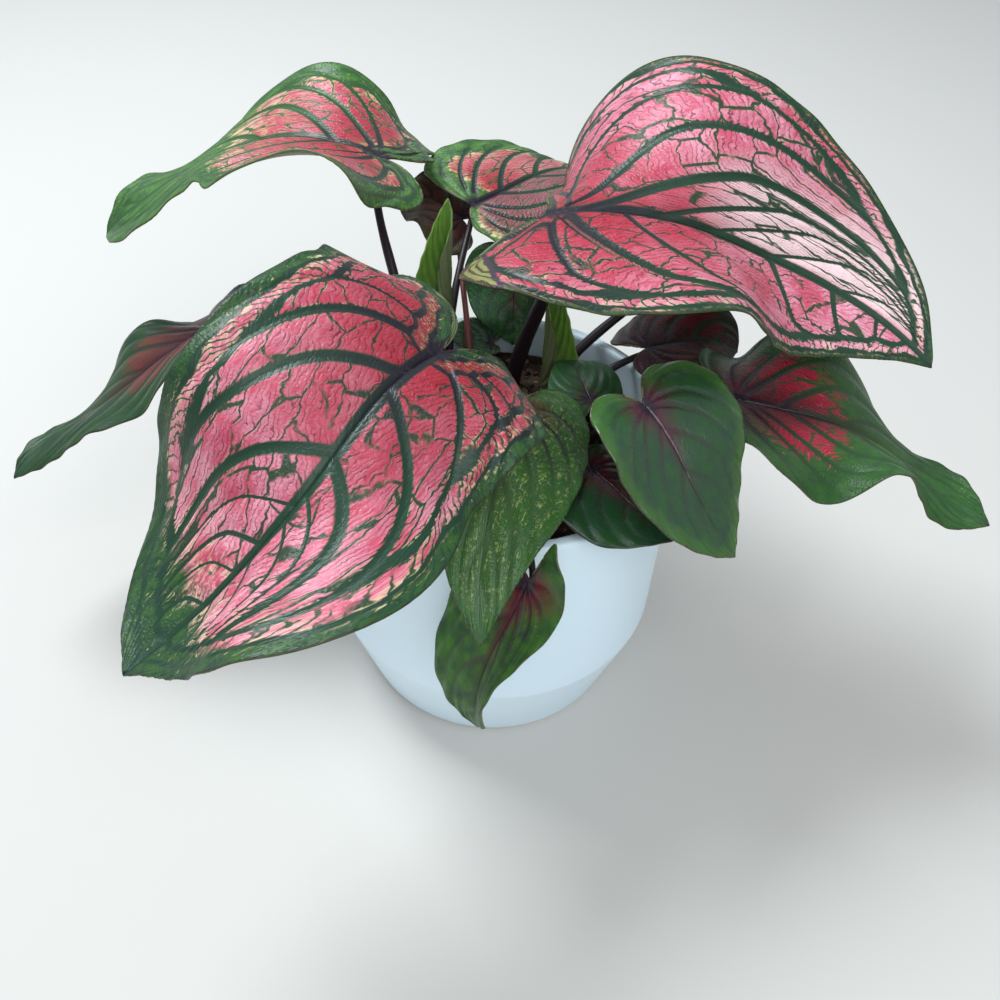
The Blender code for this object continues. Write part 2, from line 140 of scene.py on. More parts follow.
# Every leaf with its stalk, in mm and degrees, as a row of the columns named here. Pairs are (left, right)
# seen from the stalk to the tip; five values are those at the stations, or one number for all five.
leafColumns = ("at", "length", "halfWidth", "lobe", "spread", "full", "belly",
               "heading", "pitch", "turn", "roll",
               "fold", "curl",
               "foot", "radius", "rise", "reach", "lean")  # these belong to the stalk
leafRows = {
    "pinkFrontLeft": (
        (-20.3, -46.7, 196.1), 143.5, (43.2, 51.6), (46, 59.8), 1.25, 1.66, 0.15,
        242, (25, 16, -21, -45, -12), (27, 1, -3, -35, -17), (-39, -22, -16, 3, 15),
        ((-13, 3, -4, 18, 15), (1, 10, 10, 15, 12)), ((-8, -12, -40, 0, -8), (-50, -19, -10, 13, -36)),
        (-24, 20), (3.3, 1.8), 22, 16, (0, 0)),
    "pinkRight": (
        (14.9, 23, 207.7), 166.1, (72.6, 55.2), (4, 30.3), 1.09, 0.62, 0.01,
        2, (91, 13, -22, -22, -29), (-4, 0, 11, -10, -39), (-20, -21, 6, 16, 10),
        ((50, 6, 43, 17, 10), (11, -15, 12, 4, 9)), ((-29, -23, -24, 14, -20), (1, -17, -16, -22, -11)),
        (4, 39), (3.3, 1.9), 30, 26, (3, 0)),
    "twistedRearLeft": (
        (-55.6, 87.9, 193), 139.8, (57.5, 45.8), (28.1, 18.9), 0.95, 0.82, -0.1,
        168, (8, 13, -16, -26, -48), (-5, 0, -3, 36, -3), (15, 13, 3, 11, -31),
        ((-5, 3, 10, 10, 14), (3, 5, 20, -4, 19)), ((-57, 14, -16, -8, -15), (-21, -15, 2, -26, -15)),
        (-37, 35), (2.3, 1.4), 34, 24, (-3, 14)),
    "rearCentre": (
        (-16.6, 92.3, 171.5), 78.3, (37.1, 33.7), (6.9, 12), 1.2, 0.7, 0.03,
        41, (-18, 1, 3, -12, -33), (0, 0, 4, -1, -5), (1, 6, 4, -6, -29),
        ((7, 10, 11, 7, 1), (7, 5, 8, 8, 8)), ((-18, -23, -12, -10, -21), (-17, -19, -15, -15, -15)),
        (-22.5, 42), (1.8, 1.2), 36, 16, (-3.5, -3.5)),
    "darkRear": (
        (-22.7, 103.1, 158), 32.6, (24.1, 23.5), (13, 6), 1.02, 0.74, 0.02,
        153, (8, 19, 17, -4, -35), (-1, 0, 2, 8, 6), (-7, -2, 1, -11, -11),
        ((1, 5, 11, 6, 8), (8, 8, 8, 14, 10)), ((-23, -18, -10, -17, -15), (-15, -15, -15, -10, -13)),
        (-14, 43), (1.4, 1), 30, 10, (-1, -2)),
    "hangingCentre": (
        (2.8, 66.5, 157), 32.5, (16.3, 21.9), (4, 9.4), 1, 0.64, 0.03,
        267, (-58, -60, -64, -65, -70), (-6, 0, 4, 12, -8), (-2, 3, 4, 3, 3),
        ((8, 8, 7, 8, 8), (10, 6, 4, 8, 7)), ((-15, -15, -17, -15, -15), (-11, -20, -24, -15, -15)),
        (9, 58), (1.5, 1), 20, 8, (-1, 5)),
    "lowRear": (
        (-5.7, 54.7, 126.6), 18.8, (5.4, 10), (4, 4), 1, 0.96, 0.04,
        180, (0, 6, 12, 3, -9), (0, 0, -3, 1, 4), (-40, -39, -40, -40, -40),
        ((8, 9, 9, 8, 8), (9, 1, 7, 10, 8)), ((-15, -13, -14, -15, -15), (-14, -27, -17, -13, -15)),
        (-6, 59), (1.1, 0.9), 3, 2, (0, 0)),
    "maroonRightRear": (
        (59.4, 41, 139), 42.6, (27.8, 21.6), (14.1, 9.1), 1, 1.04, 0.02,
        13, (11, 7, -2, -15, -39), (-3, 0, 9, -1, -16), (-6, -3, -2, 15, 26),
        ((-8, 4, 7, 16, 13), (0, 5, 12, 8, 8)), ((-19, -26, -16, -8, -11), (-21, -18, -10, -15, -15)),
        (29, 28), (1.8, 1.1), 17, 2.5, (14, 8)),
    "crimsonFarRight": (
        (89.7, 1.2, 146), 111.9, (46.6, 40.9), (16.3, 10), 1.08, 0.46, 0.03,
        -8, (-1, -5, -17, -26, -3), (0, 0, 9, -23, -23), (3, -5, 2, -14, 34),
        ((13, 6, 14, 0, 8), (9, 13, 4, 15, -4)), ((-15, -36, 3, -37, -10), (-14, -4, -33, 9, -23)),
        (42, 4), (2, 1.3), 26, 10, (18, 0)),
    "hiddenRightRear": (
        (74, 70, 166), 44, (19, 18), (10, 10), 1, 0.6, 0.02,
        24, (4, -4, -12, -20, -28), (0, 0, 3, 6, 8), (-2, -2, 0, 3, 6),
        ((6, 8, 10, 8, 8), (6, 8, 10, 8, 8)), ((-15, -18, -16, -14, -12), (-15, -18, -16, -14, -12)),
        (22, 44), (2.2, 1.3), 30, 12, (22, 12)),
    "glossyFrontRight": (
        (47.6, -43.3, 176), 61.4, (32.4, 29), (9.7, 12.3), 0.88, 0.65, -0.02,
        -36, (3, -30, -47, -50, -42), (-1, 0, -5, 5, 5), (-5, -5, 2, 3, -4),
        ((-2, 6, 13, 10, 7), (2, 11, 11, 8, 8)), ((-20, -8, -12, -7, -19), (-26, -11, -10, -13, -16)),
        (30, -8), (1.9, 1.3), 24, 12, (6, -4)),
    "darkUnderGlossy": (
        (33.8, -36.4, 140), 40.1, (16, 27.1), (10, 10), 1, 0.78, 0.02,
        -47, (0, 0, -4, -8, -11), (0, 0, -3, 2, 4), (0, -1, 0, 6, 2),
        (8, (8, 9, 9, 4, 8)), (-15, (-15, -14, -12, -21, -15)),
        (18, -9), (1.6, 1.1), 20, 10, (4, -8)),
    "smallInner": (
        (33.8, 0.6, 142), 29.5, (14.9, 14.5), (10, 10.5), 1, 0.65, 0.02,
        108, (1, 5, 3, -11, -26), (0, 0, -2, 3, -4), (0, 3, -3, -2, 6),
        ((8, 8, 8, 8, 10), (9, 4, 12, 10, 8)), ((-15, -15, -14, -15, -15), (-14, -23, -9, -13, -15)),
        (36, 17), (1.4, 1), 8, 6, (0, 0)),
    "speckledFront": (
        (5, -24.7, 157), 89.8, (31.1, 25.4), (21.5, 14), 0.97, 0.28, 0.04,
        262, (14, 3, -19, -33, -55), (-2, 0, -2, 4, 20), (-8, -9, -8, 2, 7),
        ((0, 2, 1, 10, 9), 8), ((-8, -35, -25, -14, -14), -15),
        (1, -6), (1.8, 1.2), 28, 12, (0, -4)),
    "lowFront": (
        (11.9, -85.1, 133), 71.4, (16.4, 27.7), (20.2, 7.9), 0.91, 0.83, 0.01,
        227, (-62, -64, -60, -80, -104), (-1, 0, -7, 2, 6), (13, 1, 7, 9, -3),
        ((25, 8, 16, 29, 7), (8, 11, 10, 18, 9)), ((-3, -16, -4, 8, -17), (-15, -11, -7, -14, -9)),
        (-5, -24), (1.7, 1.1), 44, 8, (4, -24)),
    "darkFarLeft": (
        (-128.1, 49.6, 128.3), 103.6, (33.6, 34.2), (30.4, 30.4), 1, 0.49, 0.02,
        209, (0, -17, -34, -24, -21), (0, 0, -7, 7, 26), (1, 16, 6, 16, -6),
        ((7, 16, 8, 7, 8), (8, 1, 11, -8, 12)), ((-17, -2, -15, -8, -20), (-14, -26, -9, -32, -12)),
        (-44, 20), (1.9, 1.2), 44, 14, (-24, 8)),
    "rolledLeft": (
        (-24.5, 46, 151), 46, (14, 11), (1, 1), 0.6, 0.35, 0.22,
        90, (88, 88, 86, 88, 88), 0, (0, 0, -2, 0, 4),
        (8, 20), ((45, 45, 40, 60, 80), 250),
        (-28, 37), (2.2, 1.4), 14, 8, (0, 2)),
    "rolledRight": (
        (17.4, 33, 122.6), 51, (11, 14), (1, 1), 0.6, 0.35, 0.22,
        90, (86, 86, 84, 86, 86), 0, (0, 4, 6, 2, 0),
        (20, 8), (250, (45, 45, 40, 60, 80)),
        (17.4, 33), (1.6, 1.5), 0.1, 0.1, (0, 0)),
}

stations = np.array((-0.3, 0, 0.33, 0.67, 1))  # shares of a blade's length, negative in the lobes


def hermite(knots, values, x):
    # Cubic curve through the values at the knots, with slopes from their neighbours.
    slope = np.gradient(values, knots, axis=0)
    i = np.clip(np.searchsorted(knots, x) - 1, 0, len(knots) - 2)
    gap = knots[i + 1] - knots[i]
    u = (x - knots[i]) / gap
    if values.ndim > 1:
        u, gap = u[..., None], gap[..., None]
    start = (2 * u**3 - 3 * u**2 + 1) * values[i] + (u**3 - 2 * u**2 + u) * gap * slope[i]
    return start + (3 * u**2 - 2 * u**3) * values[i + 1] + (u**3 - u**2) * gap * slope[i + 1]


def steer(values, x):
    # Value at x, a share of the length, from the values at the stations.
    five = np.broadcast_to(values, len(stations)).astype(float)
    return hermite(stations, five, np.clip(x, stations[0], stations[-1]))


def cubic(k, start, near, far, end):
    # Curve from start to end that leaves towards near and comes in from far.
    return (1 - k)**3 * start + 3 * k * (1 - k)**2 * near + 3 * k**2 * (1 - k) * far + k**3 * end


def unit(vectors):
    # Each vector over its length.
    return vectors / np.linalg.norm(vectors, axis=-1, keepdims=True)


def walkedAlong(path):
    # Length walked from the first point of a path to each of its points.
    return np.concatenate([[0], np.cumsum(np.linalg.norm(np.diff(path, axis=0), axis=1))])


def halfOutline(leaf, side, count):
    # Margin of one flat half as (along, across), even in length, from the notch over the lobe to the tip:
    # a cubic curve through nine points set by length, width, lobe, spread, belly and full.
    length, width, lobe = leaf["length"], leaf["halfWidth"][side], leaf["lobe"][side]
    spread, full = leaf["spread"], leaf["full"]
    points = np.array([
        (-0.02 * length, 0), (-0.55 * lobe, 0.17 * width * spread), (-0.97 * lobe, 0.42 * width * spread),
        (-0.62 * lobe, 0.83 * width), (leaf["belly"] * length, width),
        (0.42 * length, (0.8 + 0.14 * full) * width), (0.7 * length, (0.4 + 0.34 * full) * width),
        (0.9 * length, (0.11 + 0.26 * full) * width), (length, 0)])
    knots = walkedAlong(points)
    fine = hermite(knots, points, np.linspace(0, knots[-1], 900))
    if side:
        centre, depth, reach = leaf["notchRight"]
        fine[:, 1] *= 1 - depth * np.exp(-((fine[:, 0] - centre) / reach)**2)
    walked = walkedAlong(fine)
    if side:
        for place, reach, height in leaf["crinkles"]:
            fine[:, 1] += height * np.exp(-((walked / walked[-1] - place) / reach)**2)
    even = np.linspace(0, walked[-1], count)
    return np.stack([np.interp(even, walked, fine[:, k]) for k in range(2)], -1)


def bladeSurface(leaf, along, across, lift=0):
    # The midrib is the running sum of its direction; each half then leaves it at the fold angle and
    # bends along an arc, so a point lies at chord = across * sin(half) / half and angle fold + half.
    length = leaf["length"]
    rear = max(leaf["lobe"]) * 1.05
    behind, ahead = 29, 160
    s = np.concatenate([np.linspace(-rear, 0, behind + 1)[:-1], np.linspace(0, length * 1.001, ahead)])
    pitch = np.radians(steer(leaf["pitch"], s / length))
    turn = np.radians(leaf["heading"] + steer(leaf["turn"], s / length))
    forward = np.stack([np.cos(pitch) * np.cos(turn), np.cos(pitch) * np.sin(turn), np.sin(pitch)], -1)
    step = 0.5 * (forward[1:] + forward[:-1]) * np.diff(s)[:, None]
    rib = np.concatenate([[np.zeros(3)], np.cumsum(step, axis=0)])
    rib += np.array(leaf["at"]) - rib[behind]
    base = np.stack([np.interp(along, s, rib[:, k]) for k in range(3)], -1)
    p = np.interp(along, s, pitch)
    h = np.interp(along, s, turn)
    r = np.radians(steer(leaf["roll"], along / length))[..., None]
    left = np.stack([-np.sin(h), np.cos(h), 0 * h], -1)
    up = np.stack([-np.sin(p) * np.cos(h), -np.sin(p) * np.sin(h), np.cos(p)], -1)
    side = np.cos(r) * left + np.sin(r) * up
    normal = np.cos(r) * up - np.sin(r) * left
    onLeft = across >= 0
    share = along / length
    halves = lambda key: np.where(onLeft, *(steer(values, share) for values in leaf[key]))
    fold, curl = np.radians(halves("fold")), np.radians(halves("curl"))
    distance = np.abs(across)
    sign = np.where(onLeft, 1, -1)
    half = 0.5 * curl * distance / np.where(onLeft, *leaf["halfWidth"])
    chord = distance * np.sinc(half / np.pi)
    out = base + (sign * chord * np.cos(fold + half))[..., None] * side
    out = out + (chord * np.sin(fold + half))[..., None] * normal
    lean = fold + 2 * half
    raised = (-sign * np.sin(lean))[..., None] * side + np.cos(lean)[..., None] * normal
    return out + np.broadcast_to(lift, along.shape)[..., None] * raised


def veinGrid(leaf, side, rows, columns):
    # One half as a grid: each row runs along a vein, a cubic curve from its foot on the midrib (or the
    # stalk's seat, for the lobes) to the margin, leaving at a wider angle and bending to the tip.
    edge = halfOutline(leaf, side, rows)
    length = leaf["length"]
    start, power, bow, hook, drift, turned = leaf["sweep"][side]
    reach = np.clip((edge[:, 0] / length - start) / (1 - start), 0, 1)
    foot = np.stack([length * reach**power, 0 * reach], -1)
    chord = edge - foot
    size = np.hypot(chord[:, 0], chord[:, 1])[:, None]
    angle = np.arctan2(chord[:, 1], chord[:, 0])
    fade = np.clip(1.6 * np.sin(angle), 0, 1)
    first, last = angle + np.radians(bow) * fade, angle - np.radians(hook) * fade
    near = foot + 0.36 * size * np.stack([np.cos(first), np.sin(first)], -1)
    far = edge - 0.36 * size * np.stack([np.cos(last), np.sin(last)], -1)
    q = np.linspace(0, 1, columns)[None, :, None]
    flat = cubic(q, foot[:, None], near[:, None], far[:, None], edge[:, None])
    along, across = flat[..., 0], flat[..., 1]
    # Main veins lie where the index is whole: they drift towards the tip in the outer part of the blade
    outer = np.clip((q[..., 0] - turned) / (1 - turned), 0, 1)
    u = np.linspace(0, 1, rows)[:, None] - drift * outer**2
    marks = leaf["veins"][side]
    index = np.interp(u, (marks[0] - 0.6, *marks, 1), (-4, *range(1, len(marks) + 2)))
    weight = np.array((0.4, *leaf["weights"][side], 1))[np.maximum(np.round(index), 0).astype(int)]
    walk = walkedAlong(edge)
    step = np.diff(flat, axis=1)
    stepLength = np.hypot(step[..., 0], step[..., 1])
    rowDistance = np.concatenate([np.zeros((rows, 1)), np.cumsum(stepLength, axis=1)], 1)
    # Spacing in mm between neighbouring main veins: one over the slope of the index on the flat blade
    (ax, ay), (bx, by) = (np.moveaxis(np.gradient(flat, axis=k), -1, 0) for k in (0, 1))
    slopeA, slopeB = np.gradient(index, axis=0), np.gradient(index, axis=1)
    area = np.abs(ax * by - ay * bx)
    slope = np.hypot(slopeA * by - slopeB * ay, slopeB * ax - slopeA * bx)
    spacing = np.clip(area / np.maximum(slope, 1e-6), 0, 60)
    spots = flat.reshape(-1, 2)
    margin = np.concatenate([np.sqrt(((part[:, None] - edge[None, ::2])**2).sum(-1).min(1))
                             for part in np.array_split(spots, 12)]).reshape(rows, columns)
    share = np.broadcast_to(q[..., 0], (rows, columns))
    spread = lambda values: np.broadcast_to(values[:, None], share.shape)
    return dict(along=along, across=across * (-1 if side else 1), index=index, row=rowDistance,
                spacing=spacing, margin=margin, share=share, walk=spread(walk), weight=weight)


def meshFrom(name, points, triangles, materials, uvMaps=None, which=None):
    # points (n, 3) in metres; uvMaps gives each map's values for every point before welding, and which
    # gives each triangle's material.
    keys = np.round(points / 2e-6).astype(np.int64)
    _, first, back = np.unique(keys, axis=0, return_index=True, return_inverse=True)
    back = back.reshape(-1)
    welded = back[triangles]
    whole = (welded[:, 0] != welded[:, 1]) & (welded[:, 1] != welded[:, 2]) & (welded[:, 2] != welded[:, 0])
    welded, corners = welded[whole], triangles[whole]
    mesh = bpy.data.meshes.new(name)
    mesh.vertices.add(len(first))
    mesh.vertices.foreach_set("co", points[first].astype(np.float32).ravel())
    mesh.loops.add(welded.size)
    mesh.loops.foreach_set("vertex_index", welded.astype(np.int32).ravel())
    mesh.polygons.add(len(welded))
    mesh.polygons.foreach_set("loop_start", np.arange(0, welded.size, 3, dtype=np.int32))
    mesh.update(calc_edges=True)
    for key, values in (uvMaps or {}).items():
        layer = mesh.uv_layers.new(name=key)
        layer.uv.foreach_set("vector", values[corners.ravel()].astype(np.float32).ravel())
    for material in materials:
        mesh.materials.append(material)
    if which is not None:
        mesh.polygons.foreach_set("material_index", which[whole].astype(np.int32))
    mesh.shade_smooth()
    mesh.validate()
    piece = bpy.data.objects.new(name, mesh)
    bpy.context.scene.collection.objects.link(piece)
    return piece


def gridTriangles(rows, columns, start=0, flip=False, roundColumns=False):
    # Two triangles for each cell of a grid whose points are numbered row by row.
    j = np.arange(rows - 1)[:, None]
    i = np.arange(columns if roundColumns else columns - 1)[None, :]
    beside = (i + 1) % columns
    a, b = j * columns + i, (j + 1) * columns + i
    c, d = (j + 1) * columns + beside, j * columns + beside
    cells = np.stack([np.stack([a, b, c], -1), np.stack([a, c, d], -1)], 2).reshape(-1, 3) + start
    return cells[:, ::-1] if flip else cells


def settle(piece, node, slotName):
    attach(piece, "root")
    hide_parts(node)
    return piece


def reliefOf(leaf, half):
    # Height over the plain blade in mm: panels swell between the veins, veins sink, the margin waves.
    puff, groove, wave = leaf["relief"]
    size = min(1, leaf["length"] / 90)
    inner = np.clip(half["row"] / (9 * size + 2), 0, 1)
    inner = inner * np.clip(half["margin"] / (8 * size + 1), 0, 1)
    swell = puff * size * (0.5 - 0.5 * np.cos(2 * np.pi * half["index"])) * inner
    gap = np.abs((half["index"] + 0.5) % 1 - 0.5) * half["spacing"]
    sink = groove * size * np.exp(-(gap / 1.3)**2) * (1 - 0.7 * half["share"]) * inner**0.5
    rib = groove * 1.5 * size * np.exp(-(np.abs(half["across"]) / 2.2)**2)
    rib = rib * np.clip(1.1 - half["along"] / leaf["length"], 0, 1)
    sway = half["along"] * 0.11 + 1.3 * np.sin(half["along"] * 0.07)
    ripple = wave * size * np.sin(half["index"] * 2 * np.pi + sway)
    ripple = ripple * np.clip(1 - half["margin"] / (11 * size + 1), 0, 1)**2
    ripple = ripple * np.clip(half["row"] / 20, 0, 1)
    fine = 0.05 * np.sin(half["along"] * 1.9 + 2 * np.sin(half["across"] * 0.8))
    fine = fine * np.sin(half["across"] * 2.3 + 1.7 * np.sin(half["along"] * 0.6)) * inner
    return swell - sink - rib + ripple + fine


# What each leaf changes in leafBasics: colours are linear, distances are in mm
plainGreen = dict(panelAmount=0, bars=0)
leafLooks = {
    "pinkFrontLeft": dict(
        panelEnd=(0.55, 0.98), greenMargin=(-1, 13), collective=(5.2, 12), barSize=4.2,
        creamAmount=0.62, panelDeep=(0.29, 0.01, 0.02), speckle=0.8, speckleAmount=0.12),
    "pinkRight": dict(
        whitish=(0.9, 0.65, 0.67), barWidth=0.6, greenMargin=(-4, 8), collective=(2.6, 7.6),
        flap=(-23.6, -16.5, -0.965, -0.26)),
    "twistedRearLeft": dict(
        greenMargin=(2, 18), panelEnd=(0.15, 0.72), green=(0.07, 0.2, 0.03), creamAmount=0.9,
        veinGreen=(0.03, 0.09, 0.028), speckle=0.7, speckleAmount=0.1, patch=0.7, paleAmount=0.15,
        crossSize=7),
    "rearCentre": dict(
        panel=(0.46, 0.1, 0.13), panelPale=(0.62, 0.36, 0.32), greenMargin=(7, 16), bars=0.15,
        rightMargin=-8, green=(0.085, 0.23, 0.03), creamAmount=0.9, patch=0.7,
        # Painted shade: the right half is tinted a darker greyish pink.
        dusky=((0.19, 0.08, 0.09), 0.8, -1)),
    # darkRear: its dull brownish greens and brown veins are painted shade, the leaf's green darkened where
    # it sits in shade at the back; its red heart is its own.
    "darkRear": dict(
        panelAmount=0.1, green=(0.05, 0.055, 0.022), veinGreen=(0.035, 0.028, 0.018), bars=0.3,
        heart=(0.08, 0.018, 0.014), crossAmount=0.4),
    "hangingCentre": dict(
        plainGreen, green=(0.035, 0.115, 0.025), heart=(0.11, 0.02, 0.025), heartReach=(1, 10),
        crossAmount=0.4, lineAmount=0.35),
    "lowRear": dict(
        plainGreen, green=(0.03, 0.09, 0.02), lineAmount=0.4),
    "maroonRightRear": dict(
        panel=(0.26, 0.01, 0.03), panelPale=(0.34, 0.02, 0.05), green=(0.05, 0.036, 0.022),
        heart=(0.055, 0.006, 0.012), heartReach=(10, 45), greenMargin=(3, 9), bars=0.4,
        paleAmount=-0.1, creamAmount=-1, hair=(0.04, 0.01, 0.012), speckle=0),
    "crimsonFarRight": dict(
        panel=(0.48, 0.018, 0.07), panelPale=(0.6, 0.05, 0.11), green=(0.034, 0.12, 0.02),
        heart=(0.075, 0.006, 0.014), heartReach=(6, 40), heartVeins=0.7, bars=0.15,
        greenMargin=(6, 28), panelEnd=(0.1, 0.56), paleAmount=0.1, creamAmount=-0.4, speckle=0.15,
        patch=1.7, veinGreen=(0.022, 0.07, 0.022), lineAmount=0.8),
    "hiddenRightRear": dict(
        plainGreen, green=(0.03, 0.09, 0.02)),
    "glossyFrontRight": dict(
        plainGreen, green=(0.016, 0.082, 0.012), heart=(0.075, 0.016, 0.03), heartReach=(1, 18),
        roughness=0.26, gloss=0.7, pebbles=0.15, lineAmount=0.28, crossAmount=0.1, speckle=0,
        limeEdge=(0.035, 0.11, 0.016)),
    "darkUnderGlossy": dict(
        plainGreen, green=(0.01, 0.05, 0.007), heart=(0.07, 0.005, 0.01), heartReach=(1, 18),
        crossAmount=0.2, lineAmount=0.4, speckle=0.05, roughness=0.26, gloss=0.4, pebbles=0.15),
    "smallInner": dict(
        plainGreen, green=(0.014, 0.07, 0.009), heart=(0.03, 0.03, 0.01), heartReach=(1, 10),
        crossAmount=0.2, lineAmount=0.3, speckle=0.05, pebbles=0.15),
    "speckledFront": dict(
        panelAmount=0, speckle=0.9, speckleAmount=0.62, roundFlecks=True, gloss=0.45,
        green=(0.038, 0.145, 0.018), cream=(0.5, 0.54, 0.2), heart=(0.1, 0.018, 0.014),
        heartReach=(1, 24), bars=0.3, veinGreen=(0.05, 0.13, 0.045), lineAmount=0.8,
        midWidth=(2.2, 1.2), veinWidth=(1.2, 0.6)),
    "lowFront": dict(
        plainGreen, speckle=0.7, speckleAmount=0.1, roundFlecks=True, gloss=0.3, green=(0.05, 0.165, 0.012),
        cream=(0.42, 0.46, 0.12), heart=(0.13, 0.014, 0.02), heartReach=(2, 20), lineAmount=0.4,
        crossAmount=0.3, pebbles=0.3),
    # darkFarLeft: its dark dull red and green are partly the leaf's own tones and partly painted shade from
    # lying low under the front leaf.
    "darkFarLeft": dict(
        panelAmount=0.5, panel=(0.16, 0.02, 0.03), panelPale=(0.2, 0.03, 0.04), speckle=0.1,
        greenMargin=(7, 20), panelEnd=(0.1, 0.6), creamAmount=-1, green=(0.024, 0.066, 0.014),
        heart=(0.075, 0.012, 0.016), bars=0, heartReach=(6, 44), lineAmount=0.5, crossAmount=0.4,
        pebbles=0.3),
    "rolledLeft": dict(
        plainGreen, green=(0.13, 0.27, 0.035), veinGreen=(0.09, 0.2, 0.03), crossAmount=0.1,
        veinDark=(0.11, 0.17, 0.04), edgeColour=(0.16, 0.26, 0.06), speckle=0.1, pebbles=0.3),
    "rolledRight": dict(
        plainGreen, green=(0.17, 0.33, 0.04), veinGreen=(0.11, 0.24, 0.04), crossAmount=0.1,
        veinDark=(0.16, 0.2, 0.07), edgeColour=(0.18, 0.3, 0.06), speckle=0.1, pebbles=0.3),
}


# The two values in each UV map of a blade, with what one unit stands for, in mm or counts
leafMaps = dict(flat=dict(along=100, across=100), vein=dict(index=16, margin=100),
                row=dict(row=100, spacing=100), share=dict(share=1, length=1),
                walk=dict(walk=100, weight=1))


def readMaps(wire):
    # Every value of the blade's UV maps as a wire, and the flat place as a vector in mm.
    maps = SimpleNamespace()
    for name, scales in leafMaps.items():
        spot = wire.put("UVMap", dict(uv_map=name), {})
        for k, (key, scale) in enumerate(scales.items()):
            setattr(maps, key, spot.put("SeparateXYZ", {}, {0: spot}, k) * scale)
    sockets = {0: wire.put("UVMap", dict(uv_map="flat"), {}), "Scale": leafMaps["flat"]["along"]}
    maps.place = wire.put("VectorMath", dict(operation="SCALE"), sockets)
    return maps


looksLength = 150  # mm: length of the leaf that the distances in leafLooks are meant for
leafBasics = dict(
    panel=(0.57, 0.088, 0.15), panelDeep=(0.36, 0.01, 0.026), panelPale=(0.8, 0.36, 0.46),
    paleAmount=0.36, green=(0.035, 0.105, 0.02), veinGreen=(0.014, 0.046, 0.026),
    # veinDark: the veins' own dark purple near the seat, tinted a little blue as a painted reflection of
    # the sky.
    veinDark=(0.015, 0.01, 0.02), darkReach=75, hair=(0.11, 0.008, 0.02), hairAmount=0.85,
    crossSize=9.5, crossAmount=0.9, cream=(0.68, 0.62, 0.3), creamAmount=0.5, patch=0.4,
    edgeColour=(0.06, 0.014, 0.014), midWidth=(3, 1.4), veinWidth=(2, 1),
    greenMargin=(-4, 9), rightMargin=0, panelEnd=(0.88, 1.06), collective=(4.4, 9.2), bars=1,
    roughness=0.34, speckle=0.5, speckleAmount=0, panelAmount=1, heart=None,
    heartReach=(4, 30), heartVeins=0.35, lineAmount=0.95, whitish=None, limeEdge=None,
    pebbles=1, flap=None, gloss=0.3, dusky=None, barSize=3.4, barWidth=1, roundFlecks=False)


def lookOf(name):
    return SimpleNamespace(**{**leafBasics, **leafLooks[name]})


def cellEdges(place, scale, random):
    # Distance to the edges of a pattern of cells, in the pattern's own unit.
    sockets = {"Vector": place, "Scale": scale, "Randomness": random}
    return place.put("TexVoronoi", dict(feature="DISTANCE_TO_EDGE"), sockets)


def leafField(wire, look, size):
    # The noises, and the distances in mm, that the lines and colours of a blade are made of.
    f = readMaps(wire)
    f.jag = noiseOf(f.place, 0.55, 3, 0.6) - 0.5
    f.broad = noiseOf(f.place, 0.045, 2, 0.5) - 0.5
    f.middle = noiseOf(f.place, 0.16, 2, 0.55) - 0.5
    f.rough = f.jag * 0.9
    # Distances to the midrib and to the main veins, and how far along the gap a place lies
    f.toMid = abs(f.across)
    indexed = f.index + f.jag * 0.02
    f.phase = indexed.fract()
    gap = indexed - f.phase + f.across.rise(-0.01, 0.01) * 11
    f.toVein = (0.5 - abs(f.phase - 0.5)) * f.spacing
    between = (f.phase - 0.5) * f.spacing
    crossing = f.row + between * 0.4 + (f.middle * 6 + f.jag * 0.9) * size + gap * 5.7
    # Thin veins that cross a gap from one main vein to the next, and the hairlines among them
    crossSize, hairSize = look.crossSize * size, 1.9 * size**0.5
    corner = (between * (0.6 / crossSize), crossing * (1 / crossSize), gap * 3)
    f.toCross = cellEdges(wire.put("CombineXYZ", {}, corner), 1, 0.9) * crossSize
    f.toHair = (0.5 - abs((crossing * (1 / hairSize) + f.jag * 0.5).fract() - 0.5)) * hairSize
    fine = wire.put("CombineXYZ", {}, (between * 0.45, crossing, gap * 3))
    f.grit = noiseOf(fine, 0.75, 3, 0.75) - 0.5
    f.dots = (noiseOf(f.place, 0.5, 5, 0.9) if look.roundFlecks else noiseOf(fine, 1.7, 2, 0.7)) - 0.5
    f.tiny = cellEdges(f.place, 0.7, 1) * 1.4
    return f


